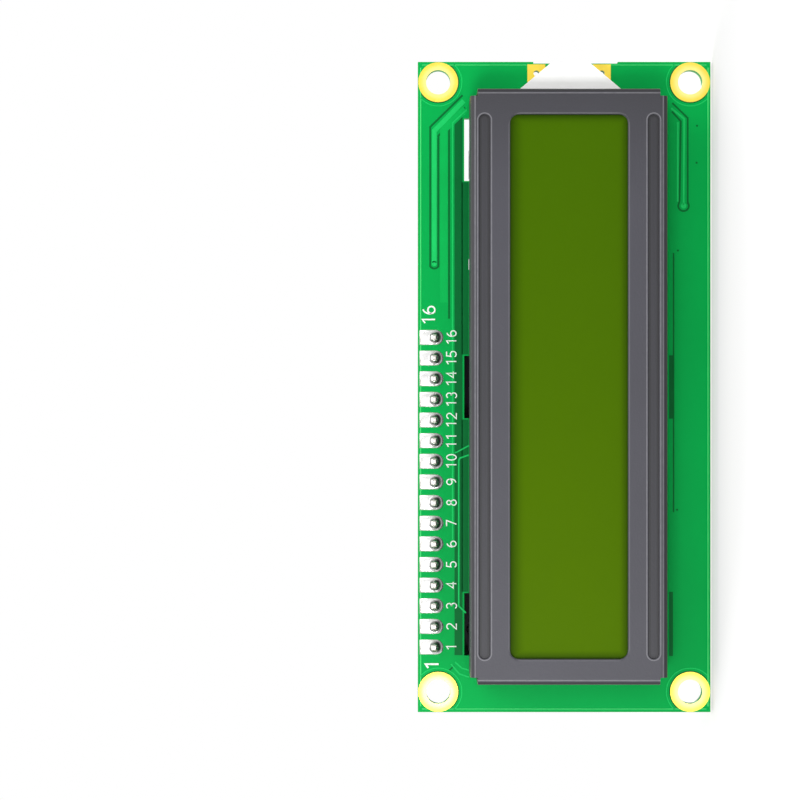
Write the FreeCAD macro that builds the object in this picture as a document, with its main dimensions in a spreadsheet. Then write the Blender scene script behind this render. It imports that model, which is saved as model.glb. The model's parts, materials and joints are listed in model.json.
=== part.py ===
import FreeCAD, Part
import Sketcher
import math
import os
import re

# Two-line character display module with a serial adapter board on its rear.
# X runs along the text lines, Y from the display face to the rear, and Z is up.
# The origin is the centre of the four mounting holes, on the front face of the main board.

SIZES = [
    ("board_length", 80.0),
    ("board_height", 36.0),
    ("board_thick", 1.6),
    ("mount_margin", 2.5),
    ("mount_bore", 3.0),
    ("plating_width", 4.9),
    ("copper_thick", 0.05),
    ("locating_bore", 1.5),
    ("locating_shift", 0.5),
    ("end_recess_deep", 0.2),
    ("end_recess_long", 10.4),
    ("end_recess_drop", 1.4),
    ("pin_count", 16),
    ("pin_pitch", 2.54),
    ("pin_side", 0.64),
    ("pin_drill", 1.02),
    ("pin_bevel", 0.15),
    ("pin_tip", 1.3),
    ("pin_tail", 1.3),
    ("pin_one_margin", 8.0),
    ("pin_row_margin", 2.0),
    ("header_pad_width", 1.9),
    ("header_pad_reach", 3.0),
    ("spacer_height", 2.54),
    ("spacer_width", 2.5),
    ("spacer_nick", 0.5),
    ("solder_radius", 0.85),
    ("solder_top_radius", 0.45),
    ("solder_height", 0.8),
    ("bezel_end_margin", 4.0),
    ("bezel_height", 23.8),
    ("bezel_sheet", 0.6),
    ("bezel_bend", 0.7),
    ("bezel_drop", 0.2),
    ("corner_notch", 0.9),
    ("window_end_frame", 3.15),
    ("window_side_frame", 4.8),
    ("window_radius", 1.0),
    ("window_edge_round", 0.2),
    ("bead_margin", 1.7),
    ("bead_width", 1.65),
    ("bead_end_margin", 3.0),
    ("bead_wall", 0.2),
    ("bead_edge_round", 0.12),
    ("tab_width", 3.4),
    ("tab_shift", 1.7),
    ("tab_end_margin", 6.8),
    ("tab_reach", 1.4),
    ("arm_length", 3.7),
    ("arm_twist", 43.0),
    ("arm_gap", 0.15),
    ("arm_swing_x", 1.15),
    ("arm_swing_z", 1.25),
    ("slot_length", 7.7),
    ("slot_width", 1.35),
    ("slot_gap", 0.15),
    ("tab_pad_length", 7.15),
    ("tab_pad_width", 2.7),
    ("tab_pad_gap", 0.1),
    ("polariser_thick", 0.2),
    ("polariser_lap", 0.8),
    ("glass_thick", 1.1),
    ("glass_gap", 0.3),
    ("strip_thick", 1.8),
    ("strip_end_margin", 4.0),
    ("strip_gap", 0.15),
    ("diffuser_thick", 0.2),
    ("diffuser_lap", 0.9),
    ("backlight_thick", 3.7),
    ("tray_wall", 0.9),
    ("tray_floor", 0.7),
    ("guide_gap", 0.1),
    ("lug_root", 13.2),
    ("lug_tip", 4.6),
    ("lug_thick", 3.0),
    ("lug_drop", 0.6),
    ("lug_end_margin", 0.2),
    ("lug_notch_gap", 0.2),
    ("lamp_wide", 3.0),
    ("lamp_deep", 1.0),
    ("lamp_tall", 2.4),
    ("lamp_pitch", 7.0),
    ("lead_side", 0.45),
    ("lead_pitch", 2.6),
    ("lead_margin", 0.75),
    ("lead_drill", 0.8),
    ("lead_tail", 0.7),
    ("lead_pad_radius", 0.9),
    ("lead_joint_top", 0.45),
    ("lead_joint_height", 0.55),
    ("test_pad_radius", 1.0),
    ("test_pad_margin", 3.8),
    ("test_pad_drill", 0.7),
    ("lamp_pad_side", 2.2),
    ("lamp_pad_pitch", 8.05),
    ("lamp_pad_margin", 1.4),
    ("lamp_pad_drill", 0.7),
    ("drop_height", 1.35),
    ("drop_edge", 0.25),
    ("controller_share", 0.315),
    ("controller_z", -0.7),
    ("controller_radius", 6.2),
    ("driver_share", 0.33),
    ("driver_z", 0.4),
    ("driver_radius", 5.4),
    ("die_side", 3.4),
    ("die_thick", 0.4),
    ("adapter_length", 41.5),
    ("adapter_height", 19.0),
    ("adapter_thick", 1.6),
    ("adapter_row_margin", 1.3),
    ("adapter_pin_margin", 1.7),
    ("header_body_side", 2.54),
    ("header_body_nick", 0.4),
    ("bend_radius", 0.9),
    ("leg_tail", 0.9),
    ("leg_offset", 1.3),
    ("output_pins", 4),
    ("output_drop", 0.3),
    ("output_body_overhang", 0.3),
    ("output_pin_reach", 6.0),
    ("trimmer_length", 7.0),
    ("trimmer_width", 6.7),
    ("trimmer_height", 4.9),
    ("trimmer_room", 0.36),
    ("trimmer_rise", 0.4),
    ("trimmer_chamfer", 0.25),
    ("rotor_radius", 1.45),
    ("rotor_thick", 1.1),
    ("rotor_sink", 0.15),
    ("rotor_gap", 0.06),
    ("rotor_slot_long", 2.2),
    ("rotor_slot_wide", 0.45),
    ("rotor_slot_deep", 0.6),
    ("spindle_radius", 0.65),
    ("spindle_long", 1.6),
    ("dial_inner", 1.7),
    ("dial_outer", 2.4),
    ("dial_mark_wide", 0.3),
    ("dial_mark_deep", 0.2),
    ("dial_marks", 8),
    ("leg_pitch", 2.54),
    ("expander_room", 0.755),
    ("expander_low_room", 0.43),
    ("pull_up_low_room", 0.55),
    ("expander_length", 10.3),
    ("expander_width", 7.5),
    ("expander_height", 2.3),
    ("expander_standoff", 0.1),
    ("expander_taper", 6.0),
    ("expander_dimple", 0.5),
    ("expander_dimple_margin", 1.1),
    ("expander_dimple_deep", 0.1),
    ("lead_count", 8),
    ("lead_step", 1.27),
    ("lead_wide", 0.42),
    ("lead_thick", 0.25),
    ("lead_span", 10.3),
    ("lead_foot", 0.8),
    ("lead_shoulder", 0.35),
    ("lead_sunk", 0.5),
    ("chip_thick", 0.5),
    ("chip_end", 0.4),
    ("board_chip_length", 2.2),
    ("board_chip_width", 1.15),
    ("long_chip_length", 3.0),
    ("adapter_chip_length", 1.7),
    ("adapter_chip_width", 0.95),
    ("address_pad_side", 0.9),
    ("address_pitch", 1.85),
    ("address_shift", 0.7),
    ("address_rise", 0.7),
    ("address_split", 1.2),
    ("transistor_margin", 6.25),
    ("transistor_rise", 1.9),
    ("transistor_length", 2.9),
    ("transistor_width", 1.3),
    ("transistor_height", 1.0),
    ("transistor_pitch", 1.9),
    ("transistor_lead_wide", 0.42),
    ("transistor_lead_thick", 0.15),
    ("transistor_span", 2.6),
    ("jumper_rise", 1.3),
    ("jumper_body_margin", 0.45),
    ("jumper_pin_reach", 5.1),
    ("cap_length", 5.8),
    ("cap_height", 2.5),
    ("cap_wall", 0.65),
    ("cap_gap", 0.8),
    ("cap_round", 0.3),
    ("cap_window_long", 1.5),
    ("cap_window_wide", 1.9),
    ("cap_window_margin", 0.95),
    ("clip_thick", 0.2),
    ("clip_gap", 0.06),
    ("clip_inset", 0.5),
    ("jumper_pad_radius", 1.0),
    ("jumper_pad_split", 0.25),
    ("link_radius", 0.9),
    ("link_top_radius", 0.45),
    ("link_height", 0.4),
]

# Each small part's place on the rear of the main board or of the adapter board, as x and z steps from
# the place that its group is set out from.
CHIP_GROUPS = {
    "bias_resistors": ("-board_end", "0", [
        ("first_bias", 9.05, -6.5),
        ("second_bias", 9.05, -4.1),
        ("third_bias", 9.05, -1.8),
    ]),
    "clock_resistors": ("controller_x", "0", [("clock_resistor", -9.9, -3.8)]),
    "long_resistors": ("locating_x", "board_top", [("lamp_resistor", 5.1, -5.2)]),
    "pull_ups": ("expander_x", "pull_up_z", [
        ("first_pull_up", -2.8, 0.0),
        ("second_pull_up", 1.7, 0.0),
        ("third_pull_up", 5.7, 0.0),
    ]),
    "upright_resistors": ("adapter_right", "expander_z", [
        ("bus_pull_up", -11.4, -2.1),
        ("clock_pull_up", -9.1, -2.1),
        ("base_resistor", -8.7, 2.5),
    ]),
    "capacitors": ("adapter_right", "expander_z", [
        ("supply_capacitor", -7.0, -2.1),
        ("chip_capacitor", -10.6, 2.5),
    ]),
    "lamps": ("adapter_right", "expander_z", [("power_lamp", -5.0, -2.1)]),
}

# Bare gold pads of parts that are not fitted: where they are set out from, and the x and z step, length
# along x and width of each.
BARE_PADS = [
    ("controller_x", [
        ("first_spare", -11.0, -6.2, 1.65, 1.5),
        ("second_spare", -8.5, -6.2, 1.65, 1.5),
    ]),
    ("board_end", [
        ("left_tank_plus", -12.05, -2.75, 1.65, 2.0),
        ("left_tank_minus", -8.55, -2.75, 1.65, 2.0),
        ("right_tank_plus", -12.05, -6.3, 1.65, 2.0),
        ("right_tank_minus", -8.55, -6.3, 1.65, 2.0),
    ]),
]

# The row of eight pads of a part that is not fitted, and the column of three solder jumpers.
ROW_SIZES = [
    ("spare_row_margin", 10.55),
    ("spare_pad_z", 1.85),
    ("spare_pad_step", 1.27),
    ("spare_pad_long", 2.0),
    ("spare_pad_wide", 0.65),
    ("spare_pad_span", 5.7),
    ("link_margin", 12.8),
    ("link_z", 5.6),
    ("link_pitch", 2.35),
]

# Outline of a resin drop above its rim: shares of its height and of its radius, out to the middle.
DROP_OUTLINE = [(0.62, 0.8), (0.9, 0.5), (1.0, 0.2), (1.0, 0.0)]

# Places that follow from the sizes.
PLACES = [
    ("board_end", "board_length / 2"),
    ("board_top", "board_height / 2"),
    ("mount_span_x", "board_length - 2 * mount_margin"),
    ("mount_span_z", "board_height - 2 * mount_margin"),
    ("adapter_front", "board_thick + spacer_height"),
    ("adapter_rear", "board_thick + spacer_height + adapter_thick"),
    ("pin_one_x", "pin_one_margin - board_length / 2"),
    ("row_span", "(pin_count - 1) * pin_pitch"),
    ("row_z", "board_height / 2 - pin_row_margin"),
    ("bezel_z", "-bezel_drop"),
    ("bezel_length", "board_length - 2 * bezel_end_margin"),
    ("window_length", "bezel_length - 2 * window_end_frame"),
    ("window_height", "bezel_height - 2 * window_side_frame"),
    ("bead_offset", "bezel_height / 2 - bead_margin"),
    ("bead_length", "bezel_length - 2 * bead_end_margin"),
    ("strip_length", "bezel_length - 2 * strip_end_margin"),
    ("tab_pitch", "bezel_length / 2 - tab_end_margin"),
    ("locating_x", "tab_pitch / 2 + locating_shift"),
    ("inner_length", "bezel_length - 2 * bezel_sheet"),
    ("inner_height", "bezel_height - 2 * bezel_sheet"),
    ("wall_z", "(bezel_height - bezel_sheet) / 2"),
    ("rear_glass_back", "-(backlight_thick + diffuser_thick + polariser_thick)"),
    ("glass_seam", "-(backlight_thick + diffuser_thick + polariser_thick + glass_thick)"),
    ("glass_front", "-(backlight_thick + diffuser_thick + polariser_thick + 2 * glass_thick)"),
    ("bezel_depth", "backlight_thick + diffuser_thick + 2 * (polariser_thick + glass_thick) + bezel_sheet"),
    ("glass_length", "bezel_length - 2 * bezel_sheet - 2 * glass_gap"),
    ("glass_height", "bezel_height - 2 * bezel_sheet - 2 * glass_gap"),
    ("tray_height", "2 * bead_offset - strip_thick - 2 * strip_gap"),
    ("slot_z", "bezel_height / 2 - bezel_sheet - slot_gap + slot_width / 2"),
    ("tab_pad_z", "bezel_height / 2 - bezel_sheet - slot_gap - tab_pad_gap - tab_pad_width / 2"),
    ("tray_end", "bezel_length / 2 - bezel_sheet - glass_gap"),
    ("lug_z", "-lug_drop"),
    ("lug_end", "board_length / 2 - end_recess_deep - lug_end_margin"),
    ("lead_x", "board_length / 2 - end_recess_deep - lead_margin"),
    ("adapter_left", "pin_one_margin - board_length / 2 - adapter_pin_margin"),
    ("adapter_right", "pin_one_margin - board_length / 2 - adapter_pin_margin + adapter_length"),
    ("adapter_top", "board_height / 2 - pin_row_margin + adapter_row_margin"),
    ("pin_height", "board_thick + spacer_height + adapter_thick + header_body_side / 2"),
    ("output_body_x", "pin_one_margin - board_length / 2 - adapter_pin_margin"
                      " - output_body_overhang + header_body_side / 2"),
    ("jumper_body_x", "pin_one_margin - board_length / 2 - adapter_pin_margin + adapter_length"
                      " - jumper_body_margin - header_body_side / 2"),
    ("cap_start", "pin_one_margin - board_length / 2 - adapter_pin_margin + adapter_length"
                  " - jumper_body_margin + cap_gap"),
    ("clip_reach", "pin_side / 2 + clip_gap + clip_thick"),
    ("trimmer_top", "board_thick + spacer_height + adapter_thick + trimmer_height"),
    ("lead_mid", "expander_standoff + expander_height / 2"),
    ("controller_x", "-controller_share * board_length / 2"),
    ("driver_x", "driver_share * board_length / 2"),
    ("spare_pad_x", "board_end - spare_row_margin"),
    ("link_x", "board_end - link_margin"),
    ("output_reach", "header_body_side + leg_offset + pin_side / 2 - output_body_overhang"),
    ("right_reach", "adapter_chip_width / 2 - bus_pull_up_x"),
    ("free_length", "adapter_length - output_reach - trimmer_length - lead_span - right_reach"),
    ("trimmer_x", "adapter_left + output_reach + trimmer_room * free_length + trimmer_length / 2"),
    ("expander_x", "adapter_left + output_reach + trimmer_length"
                   " + expander_room * free_length + lead_span / 2"),
    ("free_height", "adapter_height - adapter_row_margin - solder_radius - expander_length"
                    " - adapter_chip_width"),
    ("expander_z", "row_z - solder_radius - expander_low_room * free_height - expander_length / 2"),
    ("pull_up_z", "row_z - solder_radius - pull_up_low_room * free_height - expander_length"
                  " - adapter_chip_width / 2"),
    ("trimmer_z", "expander_z + trimmer_rise"),
    ("output_z", "expander_z - output_drop"),
    ("jumper_z", "expander_z + jumper_rise"),
    ("transistor_x", "adapter_right - transistor_margin"),
    ("transistor_z", "expander_z + transistor_rise"),
    ("address_x", "trimmer_x + address_shift"),
    ("address_z", "pull_up_z + address_rise"),
]

doc = FreeCAD.newDocument("character_display_module")
dims = doc.addObject("Spreadsheet::Sheet", "dims")
spots = doc.addObject("Spreadsheet::Sheet", "spots")
owners = {}
parts = {}


def fill_sheet(sheet, rows):
    """Write names in column A and values in column B, and name each value's cell."""
    first = len([name for name in owners if owners[name].startswith(sheet.Name)]) + 1
    for row, (name, content) in enumerate(rows, first):
        sheet.set(f"A{row}", name)
        sheet.set(f"B{row}", str(content))
        sheet.setAlias(f"B{row}", name)
        owners[name] = f"{sheet.Name}.{name}"


def formula(text):
    """Point each name in a formula at the sheet that holds it."""
    return re.sub(r"[a-z]\w+", lambda word: owners.get(word.group(), word.group()), text)


def value(text):
    """The number that a formula gives now."""
    return float(dims.evalExpression(formula(text)))


def chip_rows():
    """Sheet rows with the steps of every small part and bare pad."""
    for x_from, z_from, places in CHIP_GROUPS.values():
        for name, x, z in places:
            yield f"{name}_x", x
            yield f"{name}_z", z
    for x_from, places in BARE_PADS:
        for name, x, z, length, width in places:
            yield f"{name}_x", x
            yield f"{name}_z", z
            yield f"{name}_long", length
            yield f"{name}_wide", width


fill_sheet(dims, SIZES + ROW_SIZES + list(chip_rows()))
fill_sheet(spots, [(name, "") for name, text in PLACES])
for place_row, (place_name, place_text) in enumerate(PLACES, 1):
    spots.set(f"B{place_row}", "=" + formula(place_text))
doc.recompute()


def bind(thing, **sizes):
    """Bind an object's properties to formulas; x, y and z stand for its place."""
    for name, text in sizes.items():
        target = f"Placement.Base.{name}" if name in ("x", "y", "z") else name
        thing.setExpression(target, formula(text))
    return thing


def finish(label, shape_object):
    """Keep an object as the sub-part of that name."""
    shape_object.Label = label
    parts[label] = shape_object
    return shape_object


def block(x, y, z, length, depth, height):
    """Rectangular solid centred at x and z, with its front face at y."""
    solid = doc.addObject("Part::Box", "block")
    bind(solid, Length=length, Width=depth, Height=height)
    return bind(solid, x=f"{x} - ({length}) / 2", y=y, z=f"{z} - ({height}) / 2")


def disc(x, y, z, radius, depth):
    """Round solid about a line along Y, with its front face at y."""
    solid = doc.addObject("Part::Cylinder", "disc")
    solid.Placement = FreeCAD.Placement(FreeCAD.Vector(), FreeCAD.Rotation(FreeCAD.Vector(1, 0, 0), -90))
    return bind(solid, Radius=radius, Height=depth, x=x, y=y, z=z)


def cone(x, y, z, radius, top_radius, depth, forward=False):
    """Tapered round solid that stands on the plane at y and points rearward or forward."""
    solid = doc.addObject("Part::Cone", "cone")
    turn = 90 if forward else -90
    solid.Placement = FreeCAD.Placement(FreeCAD.Vector(), FreeCAD.Rotation(FreeCAD.Vector(1, 0, 0), turn))
    return bind(solid, Radius1=radius, Radius2=top_radius, Height=depth, x=x, y=y, z=z)


def group(solids):
    """Several separate solids as one object."""
    bunch = doc.addObject("Part::Compound", "group")
    bunch.Links = solids
    return bunch


def cut(base, tools):
    """An object less the space of the others."""
    result = doc.addObject("Part::Cut", "cut")
    result.Base = base
    result.Tool = tools[0] if len(tools) == 1 else group(tools)
    return result


def origin_part(body, role):
    """One of a body's own origin planes or axes."""
    return next(item for item in body.Origin.OriginFeatures if item.Role == role)


def new_body(name):
    """An empty body."""
    return doc.addObject("PartDesign::Body", name)


def sketch(body, plane="XZ_Plane", at="0"):
    """Empty sketch on a body's own plane, moved along that plane's axis."""
    drawing = body.newObject("Sketcher::SketchObject", "sketch")
    drawing.AttachmentSupport = (origin_part(body, plane), [""])
    drawing.MapMode = "FlatFace"
    sign = "-" if plane == "XZ_Plane" else ""
    drawing.setExpression("AttachmentOffset.Base.z", formula(f"{sign}({at})"))
    return drawing


def fix(drawing, kind, where, text):
    """Dimension of a sketch, bound to a formula."""
    index = drawing.addConstraint(Sketcher.Constraint(kind, *where, value(text)))
    drawing.setExpression(f"Constraints[{index}]", formula(text))


def rectangle(drawing, x, z, length, height):
    """Rectangle about a centre."""
    left, right = value(f"{x} - ({length}) / 2"), value(f"{x} + ({length}) / 2")
    low, high = value(f"{z} - ({height}) / 2"), value(f"{z} + ({height}) / 2")
    corners = [(left, low), (right, low), (right, high), (left, high)]
    first = drawing.GeometryCount
    for start, end in zip(corners, corners[1:] + corners[:1]):
        drawing.addGeometry(Part.LineSegment(FreeCAD.Vector(*start), FreeCAD.Vector(*end)))
    for side in range(4):
        following = first + (side + 1) % 4
        drawing.addConstraint(Sketcher.Constraint("Coincident", first + side, 2, following, 1))
    for side, kind in enumerate(["Horizontal", "Vertical", "Horizontal", "Vertical"]):
        drawing.addConstraint(Sketcher.Constraint(kind, first + side))
    fix(drawing, "DistanceX", (first, 1, first, 2), length)
    fix(drawing, "DistanceY", (first + 1, 1, first + 1, 2), height)
    fix(drawing, "DistanceX", (-1, 1, first, 1), f"{x} - ({length}) / 2")
    fix(drawing, "DistanceY", (-1, 1, first, 1), f"{z} - ({height}) / 2")


def polygon(drawing, points):
    """Closed outline through points, each a pair of formulas."""
    spots_now = [FreeCAD.Vector(value(across), value(along)) for across, along in points]
    first = drawing.GeometryCount
    count = len(points)
    for side in range(count):
        drawing.addGeometry(Part.LineSegment(spots_now[side], spots_now[(side + 1) % count]))
    for side, (across, along) in enumerate(points):
        drawing.addConstraint(Sketcher.Constraint("Coincident", first + side - 1 + count * (side == 0), 2,
                                                  first + side, 1))
        fix(drawing, "DistanceX", (-1, 1, first + side, 1), across)
        fix(drawing, "DistanceY", (-1, 1, first + side, 1), along)


def circle(drawing, x, z, radius):
    """Circle about a centre."""
    middle = FreeCAD.Vector(value(x), value(z))
    index = drawing.addGeometry(Part.Circle(middle, FreeCAD.Vector(0, 0, 1), value(radius)))
    fix(drawing, "Radius", (index,), radius)
    fix(drawing, "DistanceX", (-1, 1, index, 3), x)
    fix(drawing, "DistanceY", (-1, 1, index, 3), z)


def round_slot(drawing, x, z, length, width):
    """Slot along X with round ends, about a centre."""
    radius = value(width) / 2
    reach = f"(({length}) - ({width})) / 2"
    left, right, middle = value(f"{x} - {reach}"), value(f"{x} + {reach}"), value(z)
    up = FreeCAD.Vector(0, 0, 1)
    first = drawing.addGeometry(Part.ArcOfCircle(Part.Circle(FreeCAD.Vector(left, middle), up, radius),
                                                 math.pi / 2, 3 * math.pi / 2))
    drawing.addGeometry(Part.LineSegment(FreeCAD.Vector(left, middle - radius),
                                         FreeCAD.Vector(right, middle - radius)))
    drawing.addGeometry(Part.ArcOfCircle(Part.Circle(FreeCAD.Vector(right, middle), up, radius),
                                         -math.pi / 2, math.pi / 2))
    drawing.addGeometry(Part.LineSegment(FreeCAD.Vector(right, middle + radius),
                                         FreeCAD.Vector(left, middle + radius)))
    for one, other in ((0, 1), (1, 2), (2, 3), (3, 0)):
        drawing.addConstraint(Sketcher.Constraint("Tangent", first + one, 2, first + other, 1))
    drawing.addConstraint(Sketcher.Constraint("Equal", first, first + 2))
    fix(drawing, "Radius", (first,), f"({width}) / 2")
    for arc, across in ((first, f"{x} - {reach}"), (first + 2, f"{x} + {reach}")):
        fix(drawing, "DistanceX", (-1, 1, arc, 3), across)
        fix(drawing, "DistanceY", (-1, 1, arc, 3), z)


def pad(body, drawing, length, reverse=False, midplane=False, taper=None):
    """Solid that a sketch sweeps out."""
    feature = body.newObject("PartDesign::Pad", "pad")
    feature.Profile = drawing
    feature.Reversed = reverse
    feature.Midplane = midplane
    bind(feature, Length=length)
    if taper:
        bind(feature, TaperAngle=taper)
    body.Tip = feature
    return feature


def pocket(body, drawing, depth=None, reverse=False):
    """Hollow that a sketch sweeps out, right through the body where no depth is given."""
    feature = body.newObject("PartDesign::Pocket", "pocket")
    feature.Profile = drawing
    if depth is None:
        feature.Type = "ThroughAll"
        feature.Midplane = True
    else:
        feature.Reversed = reverse
        bind(feature, Length=depth)
    body.Tip = feature
    return feature


def row(body, features, axis, span, count, whole=False):
    """Copies of features at equal steps along an axis of the body."""
    pattern = body.newObject("PartDesign::LinearPattern", "row")
    if whole:
        pattern.TransformMode = "Whole shape"
    else:
        pattern.Originals = features
    pattern.Direction = (origin_part(body, axis), [""])
    bind(pattern, Length=span, Occurrences=count)
    body.Tip = pattern
    return pattern


def edges_where(feature, test):
    """Names of the edges whose box meets a test."""
    doc.recompute()
    return [f"Edge{number}" for number, edge in enumerate(feature.Shape.Edges, 1) if test(edge.BoundBox)]


def dress(body, kind, base, test, **sizes):
    """Fillet or chamfer on the edges that meet a test."""
    feature = body.newObject(f"PartDesign::{kind}", kind.lower())
    feature.Base = (base, edges_where(base, test))
    bind(feature, **sizes)
    body.Tip = feature
    return feature


def near(one, other):
    """Whether two lengths are the same."""
    return abs(one - other) < 1e-4


def pin_places():
    """The x of every header pin."""
    return [f"pin_one_x + {number} * pin_pitch" for number in range(round(value("pin_count")))]


def main_board():
    """Drilled and slotted board."""
    body = new_body("main_board")
    outline = sketch(body)
    rectangle(outline, "0", "0", "board_length", "board_height")
    pad(body, outline, "board_thick", reverse=True)
    mounts = sketch(body)
    for x in ("-mount_span_x / 2", "mount_span_x / 2"):
        for z in ("-mount_span_z / 2", "mount_span_z / 2"):
            circle(mounts, x, z, "mount_bore / 2")
    pocket(body, mounts)
    pin_hole = sketch(body)
    circle(pin_hole, "pin_one_x", "row_z", "pin_drill / 2")
    row(body, [pocket(body, pin_hole)], "X_Axis", "row_span", "pin_count")
    slots = sketch(body)
    for z in ("bezel_z + slot_z", "bezel_z - slot_z"):
        rectangle(slots, "-tab_pitch", z, "slot_length", "slot_width")
    row(body, [pocket(body, slots)], "X_Axis", "2 * tab_pitch", "3")
    small_holes = sketch(body)
    circle(small_holes, "-locating_x", "bezel_z - wall_z", "locating_bore / 2")
    circle(small_holes, "locating_x", "bezel_z + wall_z", "locating_bore / 2")
    for side in ("+", "-"):
        circle(small_holes, "lead_x", f"lug_z {side} lead_pitch / 2", "lead_drill / 2")
        circle(small_holes, "board_end - test_pad_margin", f"lug_z {side} lead_pitch / 2", "test_pad_drill / 2")
        circle(small_holes, "board_end - lamp_pad_margin", f"lug_z {side} lamp_pad_pitch / 2",
               "lamp_pad_drill / 2")
    pocket(body, small_holes)
    recess = sketch(body)
    rectangle(recess, "board_end", "-end_recess_drop", "2 * end_recess_deep", "end_recess_long")
    pocket(body, recess)
    finish("main_board", body)


def mounting_hole_plating():
    """Gold ring round each mounting hole, in front and behind."""
    rings = []
    for x in ("-mount_span_x / 2", "mount_span_x / 2"):
        for z in ("-mount_span_z / 2", "mount_span_z / 2"):
            for y in ("-copper_thick", "board_thick"):
                ring = disc(x, y, z, "plating_width / 2", "copper_thick")
                rings.append(cut(ring, [disc(x, y, z, "mount_bore / 2", "copper_thick")]))
    finish("mounting_hole_plating", group(rings))


def header_pads(label, y):
    """Row of pads from the board's edge to a round end just past each pin."""
    body = new_body(label)
    outline = sketch(body, at=y)
    half = "header_pad_width / 2"
    polygon(outline, [(f"pin_one_x - {half}", "board_top"),
                      (f"pin_one_x - {half}", f"board_top - header_pad_reach + {half}"),
                      (f"pin_one_x - {half} / 2", "board_top - header_pad_reach"),
                      (f"pin_one_x + {half} / 2", "board_top - header_pad_reach"),
                      (f"pin_one_x + {half}", f"board_top - header_pad_reach + {half}"),
                      (f"pin_one_x + {half}", "board_top")])
    circle(outline, "pin_one_x", "row_z", "pin_drill / 2")
    plate = pad(body, outline, "copper_thick", reverse=True)
    row(body, [plate], "X_Axis", "row_span", "pin_count")
    finish(label, body)


def bare_gold_pads():
    """Pads with no part or solder on them."""
    pads = []
    for x in ("-tab_pitch", "0", "tab_pitch"):
        for side in ("+", "-"):
            pads.append(block(x, "board_thick", f"bezel_z {side} tab_pad_z", "tab_pad_length", "copper_thick",
                              "tab_pad_width"))
    for y in ("-copper_thick", "board_thick"):
        for side in ("+", "-"):
            z = f"lug_z {side} lamp_pad_pitch / 2"
            plate = block("board_end - lamp_pad_margin", y, z, "lamp_pad_side", "copper_thick", "lamp_pad_side")
            drill = disc("board_end - lamp_pad_margin", y, z, "lamp_pad_drill / 2", "copper_thick")
            pads.append(cut(plate, [drill]))
    for side in ("+", "-"):
        x, z = "board_end - test_pad_margin", f"lug_z {side} lead_pitch / 2"
        plate = disc(x, "board_thick", z, "test_pad_radius", "copper_thick")
        pads.append(cut(plate, [disc(x, "board_thick", z, "test_pad_drill / 2", "copper_thick")]))
    for x_from, places in BARE_PADS:
        for name, *numbers in places:
            pads.append(block(f"{x_from} + {name}_x", "board_thick", f"{name}_z", f"{name}_long",
                              "copper_thick", f"{name}_wide"))
    for end in ("+", "-"):
        for step in ("-1.5", "-0.5", "0.5", "1.5"):
            pads.append(block(f"spare_pad_x {end} spare_pad_span / 2", "board_thick",
                              f"spare_pad_z + {step} * spare_pad_step", "spare_pad_long", "copper_thick",
                              "spare_pad_wide"))
    for number in range(3):
        x = f"link_x + {number} * link_pitch"
        plate = disc(x, "board_thick", "link_z", "jumper_pad_radius", "copper_thick")
        split = block(x, "board_thick", "link_z", "2 * jumper_pad_radius", "copper_thick", "jumper_pad_split")
        pads.append(cut(plate, [split]))
    finish("bare_gold_pads", group(pads))


def solder_link():
    """Drop of solder that closes the third solder jumper."""
    drop = cone("link_x + 2 * link_pitch", "board_thick + copper_thick", "link_z", "link_radius",
                "link_top_radius", "link_height")
    finish("solder_link", drop)


def resin_drop(chip, x, z, radius):
    """Black resin drop over a bare die."""
    body = new_body(f"{chip}_drop")
    bind(body, x=x, y="board_thick", z=z)
    profile = sketch(body, "YZ_Plane")
    polygon(profile, [("0", "0"), ("0", radius), ("drop_edge", radius)]
            + [(f"drop_height * {rise}", f"{radius} * {reach}") for rise, reach in DROP_OUTLINE])
    turned = body.newObject("PartDesign::Revolution", "turned")
    turned.Profile = profile
    turned.ReferenceAxis = (origin_part(body, "Y_Axis"), [""])
    turned.Angle = 360
    body.Tip = turned
    die = finish(f"{chip}_die", block(x, "board_thick", z, "die_side", "die_thick", "die_side"))
    finish(f"{chip}_resin", cut(body, [die]))


def chips(kind, y, length, width, turned=False):
    """Chip parts of one group as a row of bodies and a row of metal ends; turned ones lie along Z."""
    bodies, ends = [], []
    middle = f"{length} - 2 * chip_end"
    x_from, z_from, places = CHIP_GROUPS[kind]
    for name, *numbers in places:
        x, z = f"{x_from} + {name}_x", f"{z_from} + {name}_z"
        if turned:
            bodies.append(block(x, y, z, width, "chip_thick", middle))
        else:
            bodies.append(block(x, y, z, middle, "chip_thick", width))
        for side in ("+", "-"):
            shift = f"{side} ({length} - chip_end) / 2"
            if turned:
                ends.append(block(x, y, f"{z} {shift}", width, "chip_thick", "chip_end"))
            else:
                ends.append(block(f"{x} {shift}", y, z, "chip_end", "chip_thick", width))
    return bodies, ends


def chip_nodes(label, end_label, *groups):
    """One sub-part for the bodies of several groups and one for their metal ends."""
    finish(label, group([body for bodies, ends in groups for body in bodies]))
    finish(end_label, group([end for bodies, ends in groups for end in ends]))


def small_parts():
    """Every chip resistor, capacitor and the lamp."""
    board = ("board_thick", "board_chip_length", "board_chip_width")
    adapter = ("adapter_rear", "adapter_chip_length", "adapter_chip_width")
    chip_nodes("main_board_resistors", "main_board_resistor_ends", chips("bias_resistors", *board),
               chips("clock_resistors", *board),
               chips("long_resistors", "board_thick", "long_chip_length", "board_chip_width"))
    chip_nodes("adapter_resistors", "adapter_resistor_ends", chips("pull_ups", *adapter),
               chips("upright_resistors", *adapter, turned=True))
    chip_nodes("adapter_capacitors", "adapter_capacitor_ends", chips("capacitors", *adapter, turned=True))
    chip_nodes("power_lamp", "power_lamp_ends", chips("lamps", *adapter, turned=True))


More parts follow.
